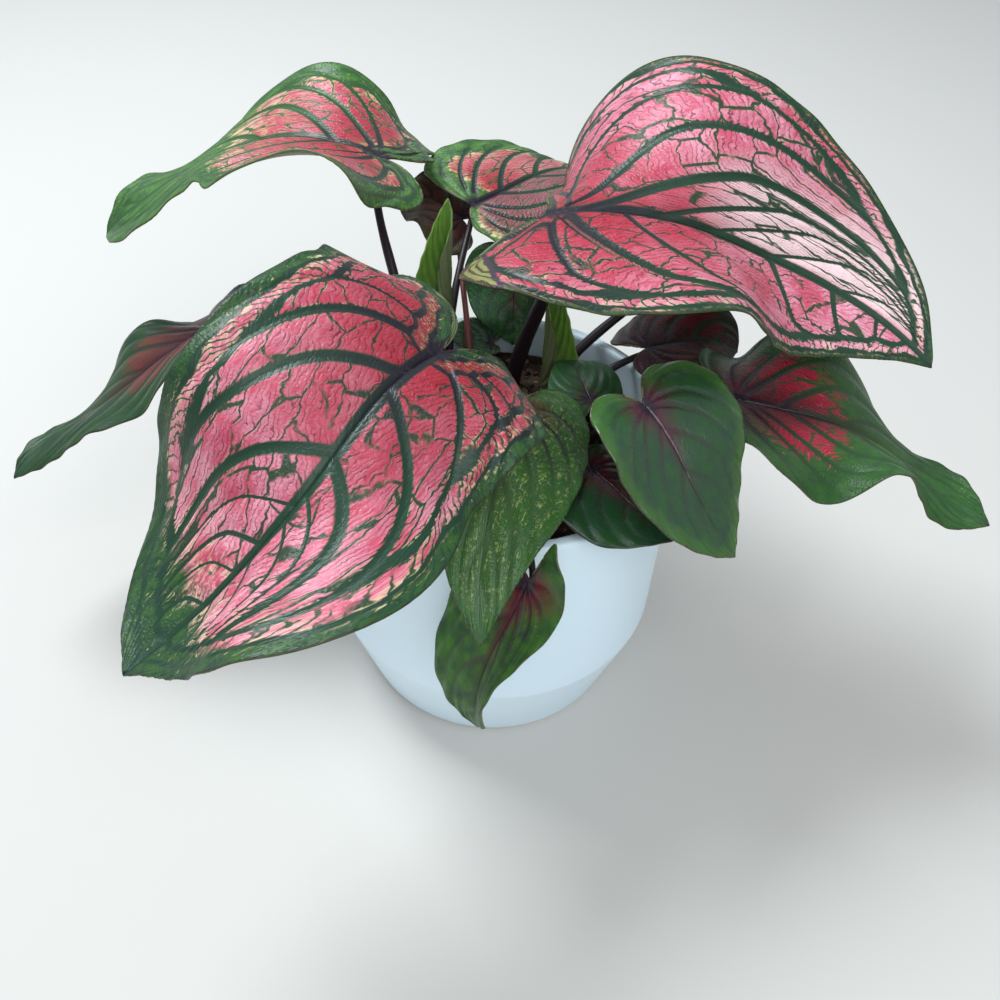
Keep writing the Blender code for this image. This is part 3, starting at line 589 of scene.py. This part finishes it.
def leafLines(f, look, size):
    # Masks of the midrib, the main veins, the two veins that follow the margin, the bars across them,
    # the thin veins and the hairlines: each is a distance against half of the line's width.
    midWide, midThin = look.midWidth
    midWidth = ((1 - f.length).held() * (midWide - midThin) + midThin) * size
    veinWide, veinThin = look.veinWidth
    veinWidth = ((1 - f.share) * (veinWide - veinThin) + veinThin) * size * f.weight
    veinWidth = veinWidth.least(f.spacing * 0.3)
    outer, inner = (distance * size for distance in look.collective)
    near = f.margin + f.middle * 3 - (abs(f.phase - 0.5) - 0.25) * f.spacing.least(22) * 0.3
    comb = f.toHair.rise(0.5, 0) * f.share.rise(0.15, 0.7) * 0.8
    midMask = (f.toMid + f.rough * 0.6).rise(midWidth * 1.2, midWidth * 0.8)
    veinMask = (f.toVein + f.rough * 0.7 - comb).rise(veinWidth * 1.3, veinWidth * 0.75)
    veinMask = veinMask * near.rise(inner - 2.5, inner)
    innerRing = (abs(near - inner) + f.rough - comb).rise(1.6 * size, 0.8 * size)
    outerRing = (abs(near - outer) + f.rough).rise(1.25 * size, 0.5 * size)
    ringMask = innerRing.most(outerRing) * look.bars
    barSize = look.barSize * size**0.5
    barStep = near.rise(outer - 0.1, outer + 0.1) * 0.45
    barPhase = (f.walk * (1 / barSize) + f.middle * 3.2 + f.jag * 0.5 + barStep).fract()
    toBar = (0.5 - abs(barPhase - 0.5)) * barSize
    barMask = (toBar + f.rough).rise(look.barWidth, look.barWidth * 0.25) * near.rise(inner, inner - 1)
    barMask = barMask * look.bars * (f.middle * 4 + f.grit * 2 + 1).held()
    inside = near.rise(inner - 1.5, inner + 0.5)
    crossGate = (f.middle * 5 + f.broad * 5 + f.share * 1.2 + 0.9).held() * inside
    crossMask = (f.toCross + f.rough * 0.35).rise(0.42 * size, 0.14 * size) * crossGate * look.crossAmount
    hairGate = (f.middle * 3 + f.grit * 2 + 0.6).held() * look.hairAmount
    hairMask = f.toHair.rise(0.34, 0.06) * inside * hairGate
    bold = midMask.most(veinMask).most(ringMask).held()
    return bold, bold.most(crossMask).most(barMask * 0.9).held(), hairMask


def panelColour(f, look, size, hairMask):
    # Pink tissue, deep near the seat and pale in patches; one leaf has a whitish area, and one has painted
    # shade on one half.
    nearSeat = f.row.rise(80 * size, 8) * f.length.rise(0.75, 0)
    paleness = f.broad * 2.4 + f.middle * 1.4 + look.paleAmount + f.grit * 2.2
    paleness = (paleness + f.length.rise(0.5, 1) * 0.4).held()
    panel = paleness.tint(look.panel, look.panelPale)
    panel = (nearSeat * 0.95 + f.middle * 0.5).held().tint(panel, look.panelDeep)
    if look.whitish:
        zone = f.length.rise(0.27, 0.5) * f.length.rise(0.98, 0.85) * f.across.rise(0, 4)
        zone = zone * (f.across + f.middle * 14).rise(38, 20)
        panel = (zone * (f.middle * 3 + f.grit * 2.5 + 1.5).held()).tint(panel, look.whitish)
    # Painted shade: one half of the blade is tinted darker, a shaded copy of the same pink.
    if look.dusky:
        halfShade, amount, side = look.dusky
        panel = ((f.across * side).rise(0, 0.5) * amount).tint(panel, halfShade)
    return hairMask.tint(panel, look.hair)


def groundColour(f, look, bold):
    # Green tissue with cream specks, which keep off the bold veins of a speckled leaf, and a lime edge.
    ground = (f.middle * 2 + 0.5).held().tint(look.green, look.veinGreen)
    speck = ((f.dots + f.grit * 0.5) * 9 - 1.6 + look.speckleAmount * 2).held() * look.speckle
    speck = speck * f.margin.rise(1, 4)
    if look.speckleAmount:
        speck = speck * (1 - bold * 0.8)
    ground = speck.tint(ground, look.cream)
    if look.limeEdge:
        ground = (f.margin + f.middle * 6).rise(7, 1).tint(ground, look.limeEdge)
    return ground


def heartMask(f, look):
    # Round the seat, and from there along the veins.
    first, last = look.heartReach
    heart = (f.row + abs(f.along) * 0.5 + f.middle * 12 + f.grit * 8).rise(last, first)
    veins = f.toVein.rise(2.2, 0).most(f.toMid.rise(3, 0)) * f.share.rise(0.9, 0)
    return (heart + veins * f.length.rise(0.95, 0.4) * look.heartVeins).held()


# Colours of the folded flap; crease is painted shade along the fold line.
flapColours = dict(olive=(0.25, 0.25, 0.09), vein=(0.07, 0.055, 0.022), edge=(0.05, 0.03, 0.02),
                   crease=(0.045, 0.028, 0.045))


def foldedFlap(f, look, colour):
    # Past a line across one lobe, the folded-over back of the blade with veins along the margin, and a dark
    # line of painted shade in the crease along the fold.
    lineAlong, lineAcross, tiltAlong, tiltAcross = look.flap
    past = (f.along - lineAlong) * tiltAlong + (f.across - lineAcross) * tiltAcross + f.middle
    veinGap = 2.3
    toVein = abs((f.margin * (1 / veinGap) + f.middle).fract() - 0.5) * veinGap
    back = toVein.rise(0.65, 0.25).tint(flapColours["olive"], flapColours["vein"])
    back = (f.margin + f.jag).rise(1.4, 0.6).tint(back, flapColours["edge"])
    colour = past.rise(0, 0.5).tint(colour, back)
    # Painted shade: a dark line in the crease along the fold.
    return (abs(past) + f.rough * 0.5).rise(1.1, 0.4).tint(colour, flapColours["crease"])


def leafTop(name, leaf):
    look, size = lookOf(name), math.sqrt(leaf["length"] / looksLength)
    material, shader, wire = startMaterial(name + "Top", Specular_IOR_Level=look.gloss)
    f = leafField(wire, look, size)
    bold, lines, hairMask = leafLines(f, look, size)
    # Where the coloured panels lie: they break up into specks towards the margin and the tip
    marginTo = f.margin - f.across.rise(0.01, -0.01) * look.rightMargin
    reach = marginTo.rise(*look.greenMargin) * f.length.rise(look.panelEnd[1], look.panelEnd[0])
    patchy = (f.grit * 2.2 + f.middle * 1.4) * (1 - reach * (1 - look.patch))
    panelMask = (reach * 2 - 0.5 + patchy).rise(0.05, 0.6) * look.panelAmount * (1 - lines)
    panelMask = (panelMask * (f.margin + f.rough).rise(0.9, 2.4)).held()
    # Cream flecks lie along the lines and where the panels break up
    border = (lines * 4 * (1 - lines)).held() * f.share.rise(0.1, 0.8) + (1 - reach) * 0.7
    fleck = (f.grit * 6 + f.middle * 3 + look.creamAmount - 0.5).held()
    panel = (border * fleck * 1.6).held().tint(panelColour(f, look, size, hairMask), look.cream)
    ground = groundColour(f, look, bold)
    if look.heart:
        heart = heartMask(f, look)
        ground, panel = heart.tint(ground, look.heart), heart.tint(panel, look.heart)
    # Veins darken towards the seat to veinDark: their own dark purple, with a little blue that is a painted
    # reflection.
    nearDark = (f.row * 0.7 + abs(f.along)).rise(look.darkReach * size, 10 * size)
    lineColour = nearDark.tint(look.veinGreen, look.veinDark)
    colour = panelMask.tint(ground, panel)
    colour = (bold.most(lines * 0.85) * look.lineAmount).held().tint(colour, lineColour)
    if look.flap:
        colour = foldedFlap(f, look, colour)
    knob = (f.along * f.along + f.across * f.across).rise(45 * size, 9 * size)
    colour = (knob * 0.85).tint(colour, look.veinDark)
    colour = ((f.margin + f.jag).rise(0.9, 0.25) * 0.85).tint(colour, look.edgeColour)
    joinTo(colour, shader, "Base Color")
    joinTo(f.middle * 0.16 + (1 - bold) * 0.06 + f.grit * 0.25 + look.roughness, shader, "Roughness")
    pebbles = f.tiny.rise(0, 0.7) * (1 - bold) * look.pebbles
    height = f.toHair.rise(0, 0.7) * 0.16 * look.pebbles + f.toVein.rise(0, 2.2) * 0.5
    bumpTo(height + pebbles * 0.45 + f.grit * 0.4, shader, 0.0004, 0.8)
    return material


underside = dict(green=(0.13, 0.17, 0.075), panel=(0.3, 0.16, 0.14), vein=(0.1, 0.12, 0.05),
                 rings=(3.4, 7.2))


def leafUnder(name):
    material, shader, wire = startMaterial(name + "Under", Roughness=0.5, Specular_IOR_Level=0.35)
    f = readMaps(wire)
    middle, fine = noiseOf(f.place, 0.16, 3, 0.55), noiseOf(f.place, 0.8, 2, 0.6)
    toVein = (0.5 - abs(f.index.fract() - 0.5)) * f.spacing
    veins = toVein.rise(1.4, 0.3).most(abs(f.across).rise(2.2, 0.8))
    first, second = (abs(f.margin - distance).rise(1.1, 0.2) for distance in underside["rings"])
    panel = (f.margin + (fine - 0.5) * 8).rise(4, 12) * lookOf(name).panelAmount
    colour = (panel * (0.4 + middle * 0.6)).held().tint(underside["green"], underside["panel"])
    colour = (veins * 0.55).most(first.most(second) * 0.4).tint(colour, underside["vein"])
    joinTo(colour, shader, "Base Color")
    bumpTo(veins * 0.8 + fine * 0.3, shader, 0.0005, 0.6)
    return material


def leafRim(name):
    look = lookOf(name)
    material, shader, wire = startMaterial(name + "Rim", Roughness=0.45)
    grain = noiseOf(objectPlace(wire), 900, 2)
    joinTo(grain.tint(look.edgeColour, look.green), shader, "Base Color")
    return material


blades = dict(thickness=0.6, cell=0.95, rows=(60, 230), columns=(30, 90))  # cell: mm of a mesh cell


def buildBlade(name, leaf):
    # Both halves as one sheet over the flat grid of veins, given its thickness by Solidify.
    halves = []
    rows = int(np.clip(1.35 * leaf["length"] / blades["cell"], *blades["rows"]))
    columns = int(np.clip(1.05 * max(leaf["halfWidth"]) / blades["cell"], *blades["columns"]))
    for side in (0, 1):
        half = veinGrid(leaf, side, rows, columns)
        lift = reliefOf(leaf, half)
        half["points"] = bladeSurface(leaf, half["along"], half["across"], lift) * mm
        half["length"] = half["along"] / leaf["length"]
        halves.append(half)
    size = rows * columns
    triangles = np.concatenate([gridTriangles(rows, columns), gridTriangles(rows, columns, size, True)])
    gather = lambda key: np.concatenate([half[key].reshape(-1) for half in halves])
    uvMaps = {mapName: np.stack([gather(key) / scale for key, scale in scales.items()], -1)
              for mapName, scales in leafMaps.items()}
    points = np.concatenate([half["points"].reshape(-1, 3) for half in halves])
    materials = [leafTop(name, leaf), leafUnder(name), leafRim(name)]
    piece = meshFrom(name + "Leaf", points, triangles, materials, uvMaps)
    shell = piece.modifiers.new("thickness", "SOLIDIFY")
    shell.thickness = blades["thickness"] * mm
    shell.offset = 0
    shell.material_offset = 1
    shell.material_offset_rim = 2
    node = ("leaf_" if name.startswith("rolled") else "blade_") + nodeName(name)
    return settle(piece, node, nodeName(name) + "_leaf")


def nodeName(name):
    return "".join("_" + letter.lower() if letter.isupper() else letter for letter in name)


def tube(name, path, radii, sides, material):
    # A round section carried along the path, square to its run; both ends drawn to a point.
    run = unit(np.gradient(path, axis=0))
    first = unit(np.cross(run, (0, 1, 0)))
    second = np.cross(run, first)
    angle = np.linspace(0, 2 * np.pi, sides, endpoint=False)
    ring = np.cos(angle)[None, :, None] * first[:, None] + np.sin(angle)[None, :, None] * second[:, None]
    points = path[:, None] + ring * radii[:, None, None]
    firstEnd, lastEnd = (np.repeat(end[:, None], sides, 1) for end in (path[:1], path[-1:]))
    points = np.concatenate([firstEnd, points, lastEnd])
    count = len(path) + 2
    walked = walkedAlong(path)
    walked = np.concatenate([walked[:1], walked, walked[-1:]])
    around = np.broadcast_to((angle / (2 * np.pi))[None], (count, sides)).reshape(-1)
    along = np.broadcast_to(walked[:, None] * 0.01, (count, sides)).reshape(-1)
    triangles = gridTriangles(count, sides, roundColumns=True)
    uvMaps = dict(flat=np.stack([along, around], -1))
    return meshFrom(name, points.reshape(-1, 3) * mm, triangles, [material], uvMaps)


def seatNormal(leaf):
    # Upper normal of the blade at the stalk's seat, from four points round it.
    spots = np.array([(4, 0), (-2, 0), (0, 3), (0, -3)])
    p = bladeSurface(leaf, spots[:, 0], spots[:, 1])
    return unit(np.cross(p[0] - p[1], p[2] - p[3]))


# mm: height at the wall, rise, depth of a hole, and the (radius, height) of the corners below the edge
soil = dict(top=116, crown=2.5, holeDepth=10, rings=92, sides=300,
            skirt=((64.7, 112), (64.7, 44.3), (51, 6.5), (0, 6.5)))
# The stalks' tubes: points along and sides round; then in mm the free space under a seat and over the
# hole's floor, the straight neck, and how far below the soil's top the upright part ends
stalkRun = dict(points=44, sides=18, gap=0.55, rolledGap=0.6, neck=1.2, footGap=0.6, buried=4)


def stalkPath(name, leaf):
    # Out of the soil along its lean, then a cubic curve that ends square to the blade.
    normal = seatNormal(leaf)
    top = np.array(leaf["at"]) - normal * stalkRun["gap"]
    if name.startswith("rolled"):
        normal = np.array((0, 0, 1))
        top = np.array(leaf["at"]) - normal * stalkRun["rolledGap"]
    start = np.array((*leaf["foot"], soil["top"] + soil["crown"]))
    lean = np.array((*leaf["lean"], leaf["rise"]))
    neck = top - normal * stalkRun["neck"]
    k = np.linspace(0, 1, stalkRun["points"])[:, None]
    curve = cubic(k, start, start + lean, neck - normal * leaf["reach"], neck)
    foot = np.array((*leaf["foot"], soil["top"] - soil["holeDepth"] + stalkRun["footGap"]))
    mouth = np.array((*leaf["foot"], soil["top"] - stalkRun["buried"]))
    return np.concatenate([[foot, mouth], curve, [top]])


def buildStalk(name, leaf, material):
    # The radius shrinks with the path's share to the power 1.3, ripples, and widens under the seat.
    path = stalkPath(name, leaf)
    wide, narrow = leaf["radius"]
    k = np.clip((np.arange(len(path)) - 2) / (len(path) - 4), 0, 1)
    radii = wide + (narrow - wide) * k**1.3
    radii *= 1 + 0.35 * np.clip((k - 0.93) / 0.07, 0, 1)**2 + 0.04 * np.sin(k * 21 + wide * 7)
    piece = tube(name + "Stalk", path, radii, stalkRun["sides"], material)
    slotName = "red_brown_stalk" if name == "darkRear" else "black_purple_stalk"
    return settle(piece, "stalk_" + nodeName(name), slotName)


def stalkFinish(name, colour, streak):
    material, shader, wire = startMaterial(name, Specular_IOR_Level=0.3)
    spot = wire.put("UVMap", dict(uv_map="flat"), {})
    sockets = {"Vector": spot, "Scale": (6, 22, 1)}
    stretched = spot.put("Mapping", dict(vector_type="POINT"), sockets)
    streaks = noiseOf(stretched, 3, 3, 0.6)
    grain = noiseOf(objectPlace(wire), 700, 3, 0.6)
    joinTo(((streaks - 0.35) * 1.8).held().tint(colour, streak), shader, "Base Color")
    joinTo(grain * 0.2 + 0.3, shader, "Roughness")
    bumpTo(streaks * 0.7 + grain * 0.3, shader, 0.00012, 0.6)
    return material


pot = dict(rim=70, foot=57, height=131, crease=43, wall=5, floor=6,
           bends=(3, 3, 2.2, 2.2, 1.6, 2), bendSteps=9, sides=200)


def rounded(corners, radii, steps):
    # A profile whose corners are turned into short parabolas of the given reach.
    parts = [np.array(corners[:1], float)]
    for before, corner, after, reach in zip(corners[:-2], corners[1:-1], corners[2:], radii):
        before, corner, after = map(np.array, (before, corner, after))
        inTo, out = corner + unit(before - corner) * reach, corner + unit(after - corner) * reach
        k = np.linspace(0, 1, steps)[:, None]
        parts.append((1 - k)**2 * inTo + 2 * k * (1 - k) * corner + k**2 * out)
    return np.concatenate(parts + [np.array(corners[-1:], float)])


def turned(name, profile, sides, material):
    # The profile (radius, height) swept round the upright axis; both ends lie on it.
    angle = np.linspace(0, 2 * np.pi, sides, endpoint=False)
    points = np.stack([profile[:, :1] * np.cos(angle), profile[:, :1] * np.sin(angle),
                       np.broadcast_to(profile[:, 1:], (len(profile), sides))], -1)
    triangles = gridTriangles(len(profile), sides, flip=True, roundColumns=True)
    return meshFrom(name, points.reshape(-1, 3) * mm, triangles, [material])


def potFinish():
    material, shader, wire = startMaterial("potGlaze", Specular_IOR_Level=0.5, Coat_Roughness=0.2)
    place = objectPlace(wire)
    soft, fine = noiseOf(place, 14, 3), noiseOf(place, 260, 3, 0.6)
    height = wire.put("SeparateXYZ", {}, {0: place}, 2) * 1000
    # Painted shade: the white glaze turns grey within about 6 mm of the floor, where the pot meets it.
    foot = (height + (soft - 0.5) * 8).rise(6, 0)
    colour = ((soft - 0.5) * 0.9 + 0.4).held().tint((0.75, 0.91, 1), (0.7, 0.86, 0.97))
    joinTo((foot * 0.35).held().tint(colour, (0.52, 0.52, 0.53)), shader, "Base Color")
    joinTo(soft * 0.12 + fine * 0.08 + 0.27, shader, "Roughness")
    bumpTo(fine * 0.4 + soft, shader, 0.00012, 0.5)
    return material


def buildPot():
    # The wall's outline from the middle of the floor, up inside and down outside, turned round.
    rim, foot, top, crease = pot["rim"], pot["foot"], pot["height"], pot["crease"]
    inner = rim - pot["wall"]
    corners = [(0, pot["floor"]), (foot - pot["wall"] - 1, pot["floor"]), (inner, crease + 1),
               (inner, top), (rim, top), (rim, crease), (foot, 0), (0, 0)]
    profile = rounded(corners, pot["bends"], pot["bendSteps"])
    piece = turned("whitePot", profile[::-1], pot["sides"], potFinish())
    return settle(piece, "pot", "white_pot")


def latticeNoise(x, y, cell, seed):
    # Random heights on a square lattice, blended smoothly between its corners, from -1 to 1.
    table = np.random.default_rng(seed).uniform(-1, 1, (64, 64))
    i, j = np.floor(x / cell).astype(int), np.floor(y / cell).astype(int)
    u, v = x / cell - i, y / cell - j
    u, v = u * u * (3 - 2 * u), v * v * (3 - 2 * v)
    near = table[i % 64, j % 64] * (1 - u) + table[(i + 1) % 64, j % 64] * u
    far = table[i % 64, (j + 1) % 64] * (1 - u) + table[(i + 1) % 64, (j + 1) % 64] * u
    return near * (1 - v) + far * v


def soilHeight(x, y):
    # A low dome plus three sizes of lattice noise, sunk where it meets the wall.
    r = np.hypot(x, y)
    crown = soil["top"] + soil["crown"] * np.clip(1 - (r / 62)**2, 0, 1)
    rough = 0.9 * latticeNoise(x, y, 7, 1) + 0.7 * latticeNoise(x, y, 3.1, 2)
    rough = rough + 0.45 * latticeNoise(x, y, 1.4, 3)
    sunkEdge = np.clip((r - 61) / 3.65, 0, 1)**2 * 1.4
    return crown + rough * np.clip((64 - r) / 3, 0, 1) - sunkEdge


def soilFinish():
    material, shader, wire = startMaterial("soilCrumb", Specular_IOR_Level=0.2, Roughness=0.95)
    place = objectPlace(wire)
    coarse, fine = noiseOf(place, 240, 4, 0.65), noiseOf(place, 1100, 3, 0.7)
    bits = wire.put("TexVoronoi", {}, {"Vector": place, "Scale": 420}, 1)
    spread = bits.put("SeparateColor", {}, {0: bits}, 0)
    colour = ((coarse - 0.3) * 2).held().tint((0.012, 0.008, 0.005), (0.075, 0.045, 0.027))
    colour = (spread.rise(0.93, 0.97) * 0.55).tint(colour, (0.3, 0.22, 0.13))
    joinTo(colour, shader, "Base Color")
    bumpTo(coarse + fine * 0.6, shader, 0.0014, 1)
    return material


soilBits = dict(lumps=520, pale=26, reach=61, seed=11)


def ballOfTwenty():
    # Corners and faces of a ball of twenty triangles.
    ball = bpy.data.meshes.new("lump")
    shape = bmesh.new()
    bmesh.ops.create_icosphere(shape, subdivisions=1, radius=1)
    shape.to_mesh(ball)
    shape.free()
    corner = np.zeros(len(ball.vertices) * 3)
    ball.vertices.foreach_get("co", corner)
    faces = np.zeros(len(ball.polygons) * 3, dtype=np.int32)
    ball.loops.foreach_get("vertex_index", faces)
    bpy.data.meshes.remove(ball)
    return corner.reshape(-1, 3), faces


def buildSoil():
    # The top is a polar sheet of noise; its skirt turns down the wall and closes at the pot's floor.
    rings, sides, skirt = soil["rings"], soil["sides"], np.array(soil["skirt"])
    radius = np.concatenate([np.linspace(0, skirt[0, 0], rings), skirt[:, 0]])
    angle = np.linspace(0, 2 * np.pi, sides, endpoint=False)
    x, y = radius[:, None] * np.cos(angle), radius[:, None] * np.sin(angle)
    z = soilHeight(x, y)
    z[rings:] = skirt[:, 1:]
    points = np.stack([x, y, z], -1).reshape(-1, 3)
    finish = soilFinish()
    triangles = gridTriangles(len(radius), sides, roundColumns=True)
    sheet = meshFrom("pottingSoil", points * mm, triangles, [finish])
    settle(sheet, "soil", "potting_soil")
    draw = np.random.default_rng(soilBits["seed"])
    count = soilBits["lumps"]
    corner, faces = ballOfTwenty()
    r = soilBits["reach"] * np.sqrt(draw.random(count))
    a = draw.random(count) * 2 * np.pi
    x, y = r * np.cos(a), r * np.sin(a)
    spread = 0.5 + 1.5 * draw.random(count)**2
    stretch = spread[:, None, None] * draw.uniform(0.6, 1.3, (count, 1, 3)) * (1, 1, 0.7)
    lumps = corner[None] * stretch * draw.uniform(0.75, 1.2, (count, len(corner), 1))
    lumps += np.stack([x, y, soilHeight(x, y) + 0.25 * spread], -1)[:, None]
    lists = (faces.reshape(1, -1, 3) + (np.arange(count) * len(corner))[:, None, None]).reshape(-1, 3)
    pale = np.repeat(np.arange(count) < soilBits["pale"], len(faces) // 3).astype(int)
    chalk, shader, wire = startMaterial("paleBit", Roughness=0.9)
    chalkColour = noiseOf(objectPlace(wire), 800).tint((0.45, 0.4, 0.3), (0.62, 0.58, 0.48))
    joinTo(chalkColour, shader, "Base Color")
    crumbs = meshFrom("soilCrumbs", lumps.reshape(-1, 3) * mm, lists, [finish, chalk], which=pale)
    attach(crumbs, "root")
    return sheet


# veins: where the main veins meet the margin, as shares of its length from the notch; weights: their
# widths; sweep: where feet leave the seat, how they crowd, bow and hook in degrees, how far the veins
# drift to the tip and from which share of the row; relief: puff, groove and wave in mm; crinkles:
# place, reach and height on the right margin; notchRight: place, depth and reach of a notch there
usualMarks = (0.16, 0.32, 0.47, 0.61, 0.73, 0.83, 0.9, 0.95)
usualLeaf = dict(veins=(usualMarks,) * 2, weights=((0.6, 0.8, 0.9, 1, 1, 0.9, 0.7, 0.5),) * 2,
                 sweep=((0.4, 2.2, 25, 12, 0.1, 0.4),) * 2, relief=(0.55, 0.45, 0.5),
                 crinkles=(), notchRight=(0, 0, 1))
leafVeins = {
    "pinkFrontLeft": dict(
        veins=((0.16, 0.25, 0.331, 0.387, 0.554, 0.7, 0.777, 0.805, 0.826, 0.86, 0.9, 0.95),
               (0.18, 0.31, 0.44, 0.605, 0.725, 0.812, 0.85, 0.878, 0.9, 0.93, 0.965)),
        weights=((0.35, 0.35, 0.5, 0.6, 0.85, 1, 1, 0.35, 0.35, 0.4, 0.4, 0.4),
                 (0.35, 0.4, 0.5, 1.05, 1.1, 1.05, 0.25, 0.45, 0.25, 0.35, 0.25)),
        sweep=((0.28, 1.96, 19.6, 3.9, 0.12, 0.31), (0.12, 3.37, 30.8, 21.9, 0.16, 0.22)),
        crinkles=((0.41, 0.022, 2.4), (0.447, 0.012, -0.8))),
    "pinkRight": dict(
        veins=((0.2, 0.403, 0.607, 0.771, 0.83, 0.863, 0.9, 0.94),
               (0.2, 0.369, 0.515, 0.571, 0.75, 0.835, 0.9, 0.95)),
        weights=((0.4, 0.8, 1.05, 1.1, 0.55, 0.35, 0.35, 0.3), (0.5, 0.8, 1, 0.6, 0.8, 0.7, 0.5, 0.4)),
        sweep=((0.66, 1.86, 4.3, 12, 0.31, 0.5), (0.3, 1.01, 24.3, 21.6, 0.25, 0.63))),
    "glossyFrontRight": dict(relief=(0.18, 0.2, 0.6)),
    "darkUnderGlossy": dict(relief=(0.25, 0.2, 0.5)),
    "smallInner": dict(relief=(0.25, 0.2, 0.4)),
    "hangingCentre": dict(relief=(0.25, 0.2, 0.4)),
    "lowFront": dict(notchRight=(9, 0.3, 8)),
}
darkStalk = stalkFinish("stalkBlack", (0.01, 0.006, 0.009), (0.03, 0.014, 0.019))
redStalk = stalkFinish("stalkRed", (0.1, 0.022, 0.022), (0.2, 0.06, 0.045))
for name, row in leafRows.items():
    leaf = {**usualLeaf, **dict(zip(leafColumns, row)), **leafVeins.get(name, {})}
    buildBlade(name, leaf)
    buildStalk(name, leaf, redStalk if name == "darkRear" else darkStalk)
print("leaves and stalks made")
buildPot()
buildSoil()
print("pot and soil made")

# Pale floor, soft studio light and the camera of the photograph
floorMesh = bpy.data.meshes.new("floor")
floorMesh.from_pydata([(-6, -6, 0), (6, -6, 0), (6, 6, 0), (-6, 6, 0)], [], [(0, 1, 2, 3)])
floor = bpy.data.objects.new("floor", floorMesh)
bpy.context.scene.collection.objects.link(floor)
floorMesh.materials.append(startMaterial("floorPale", Roughness=0.85, Base_Color=(0.6, 0.58, 0.55))[0])

world = bpy.data.worlds.new("studio")
world.use_nodes = True
world.node_tree.nodes["Background"].inputs[0].default_value = (0.86, 0.94, 1, 1)
world.node_tree.nodes["Background"].inputs[1].default_value = 0.49
bpy.context.scene.world = world
bpy.context.scene.view_settings.view_transform = "Standard"

softBoxes = {
    "window": dict(place=(-0.55, 0.45, 1.3), aim=(0, 0, 0.15), size=0.6, power=21,
                   colour=(0.88, 0.95, 1)),
    "front": dict(place=(0.35, -1, 1.2), aim=(0, 0, 0.12), size=1.2, power=13,
                  colour=(0.95, 0.98, 1)),
}
for boxName, box in softBoxes.items():
    lamp = bpy.data.lights.new(boxName, "AREA")
    lamp.shape = "SQUARE"
    lamp.size = box["size"]
    lamp.energy = box["power"]
    lamp.color = box["colour"]
    holder = bpy.data.objects.new(boxName, lamp)
    holder.location = box["place"]
    holder.rotation_euler = (Vector(box["aim"]) - Vector(box["place"])).to_track_quat("-Z", "Y").to_euler()
    bpy.context.scene.collection.objects.link(holder)

view = dict(place=(0.001509, -0.30132, 0.386607), down=44.936, tip=3.186, lens=36.37)
cameraData = bpy.data.cameras.new("photoView")
cameraData.sensor_width = 36
cameraData.lens = view["lens"]
cameraData.clip_start = 0.01
camera = bpy.data.objects.new("photoView", cameraData)
bpy.context.scene.collection.objects.link(camera)
tilt = Matrix.Rotation(math.radians(90 - view["down"]), 4, "X")
roll = Matrix.Rotation(math.radians(view["tip"]), 4, "Z")
camera.matrix_world = Matrix.Translation(view["place"]) @ tilt @ roll
bpy.context.scene.camera = camera
print("floor, lights and camera made")
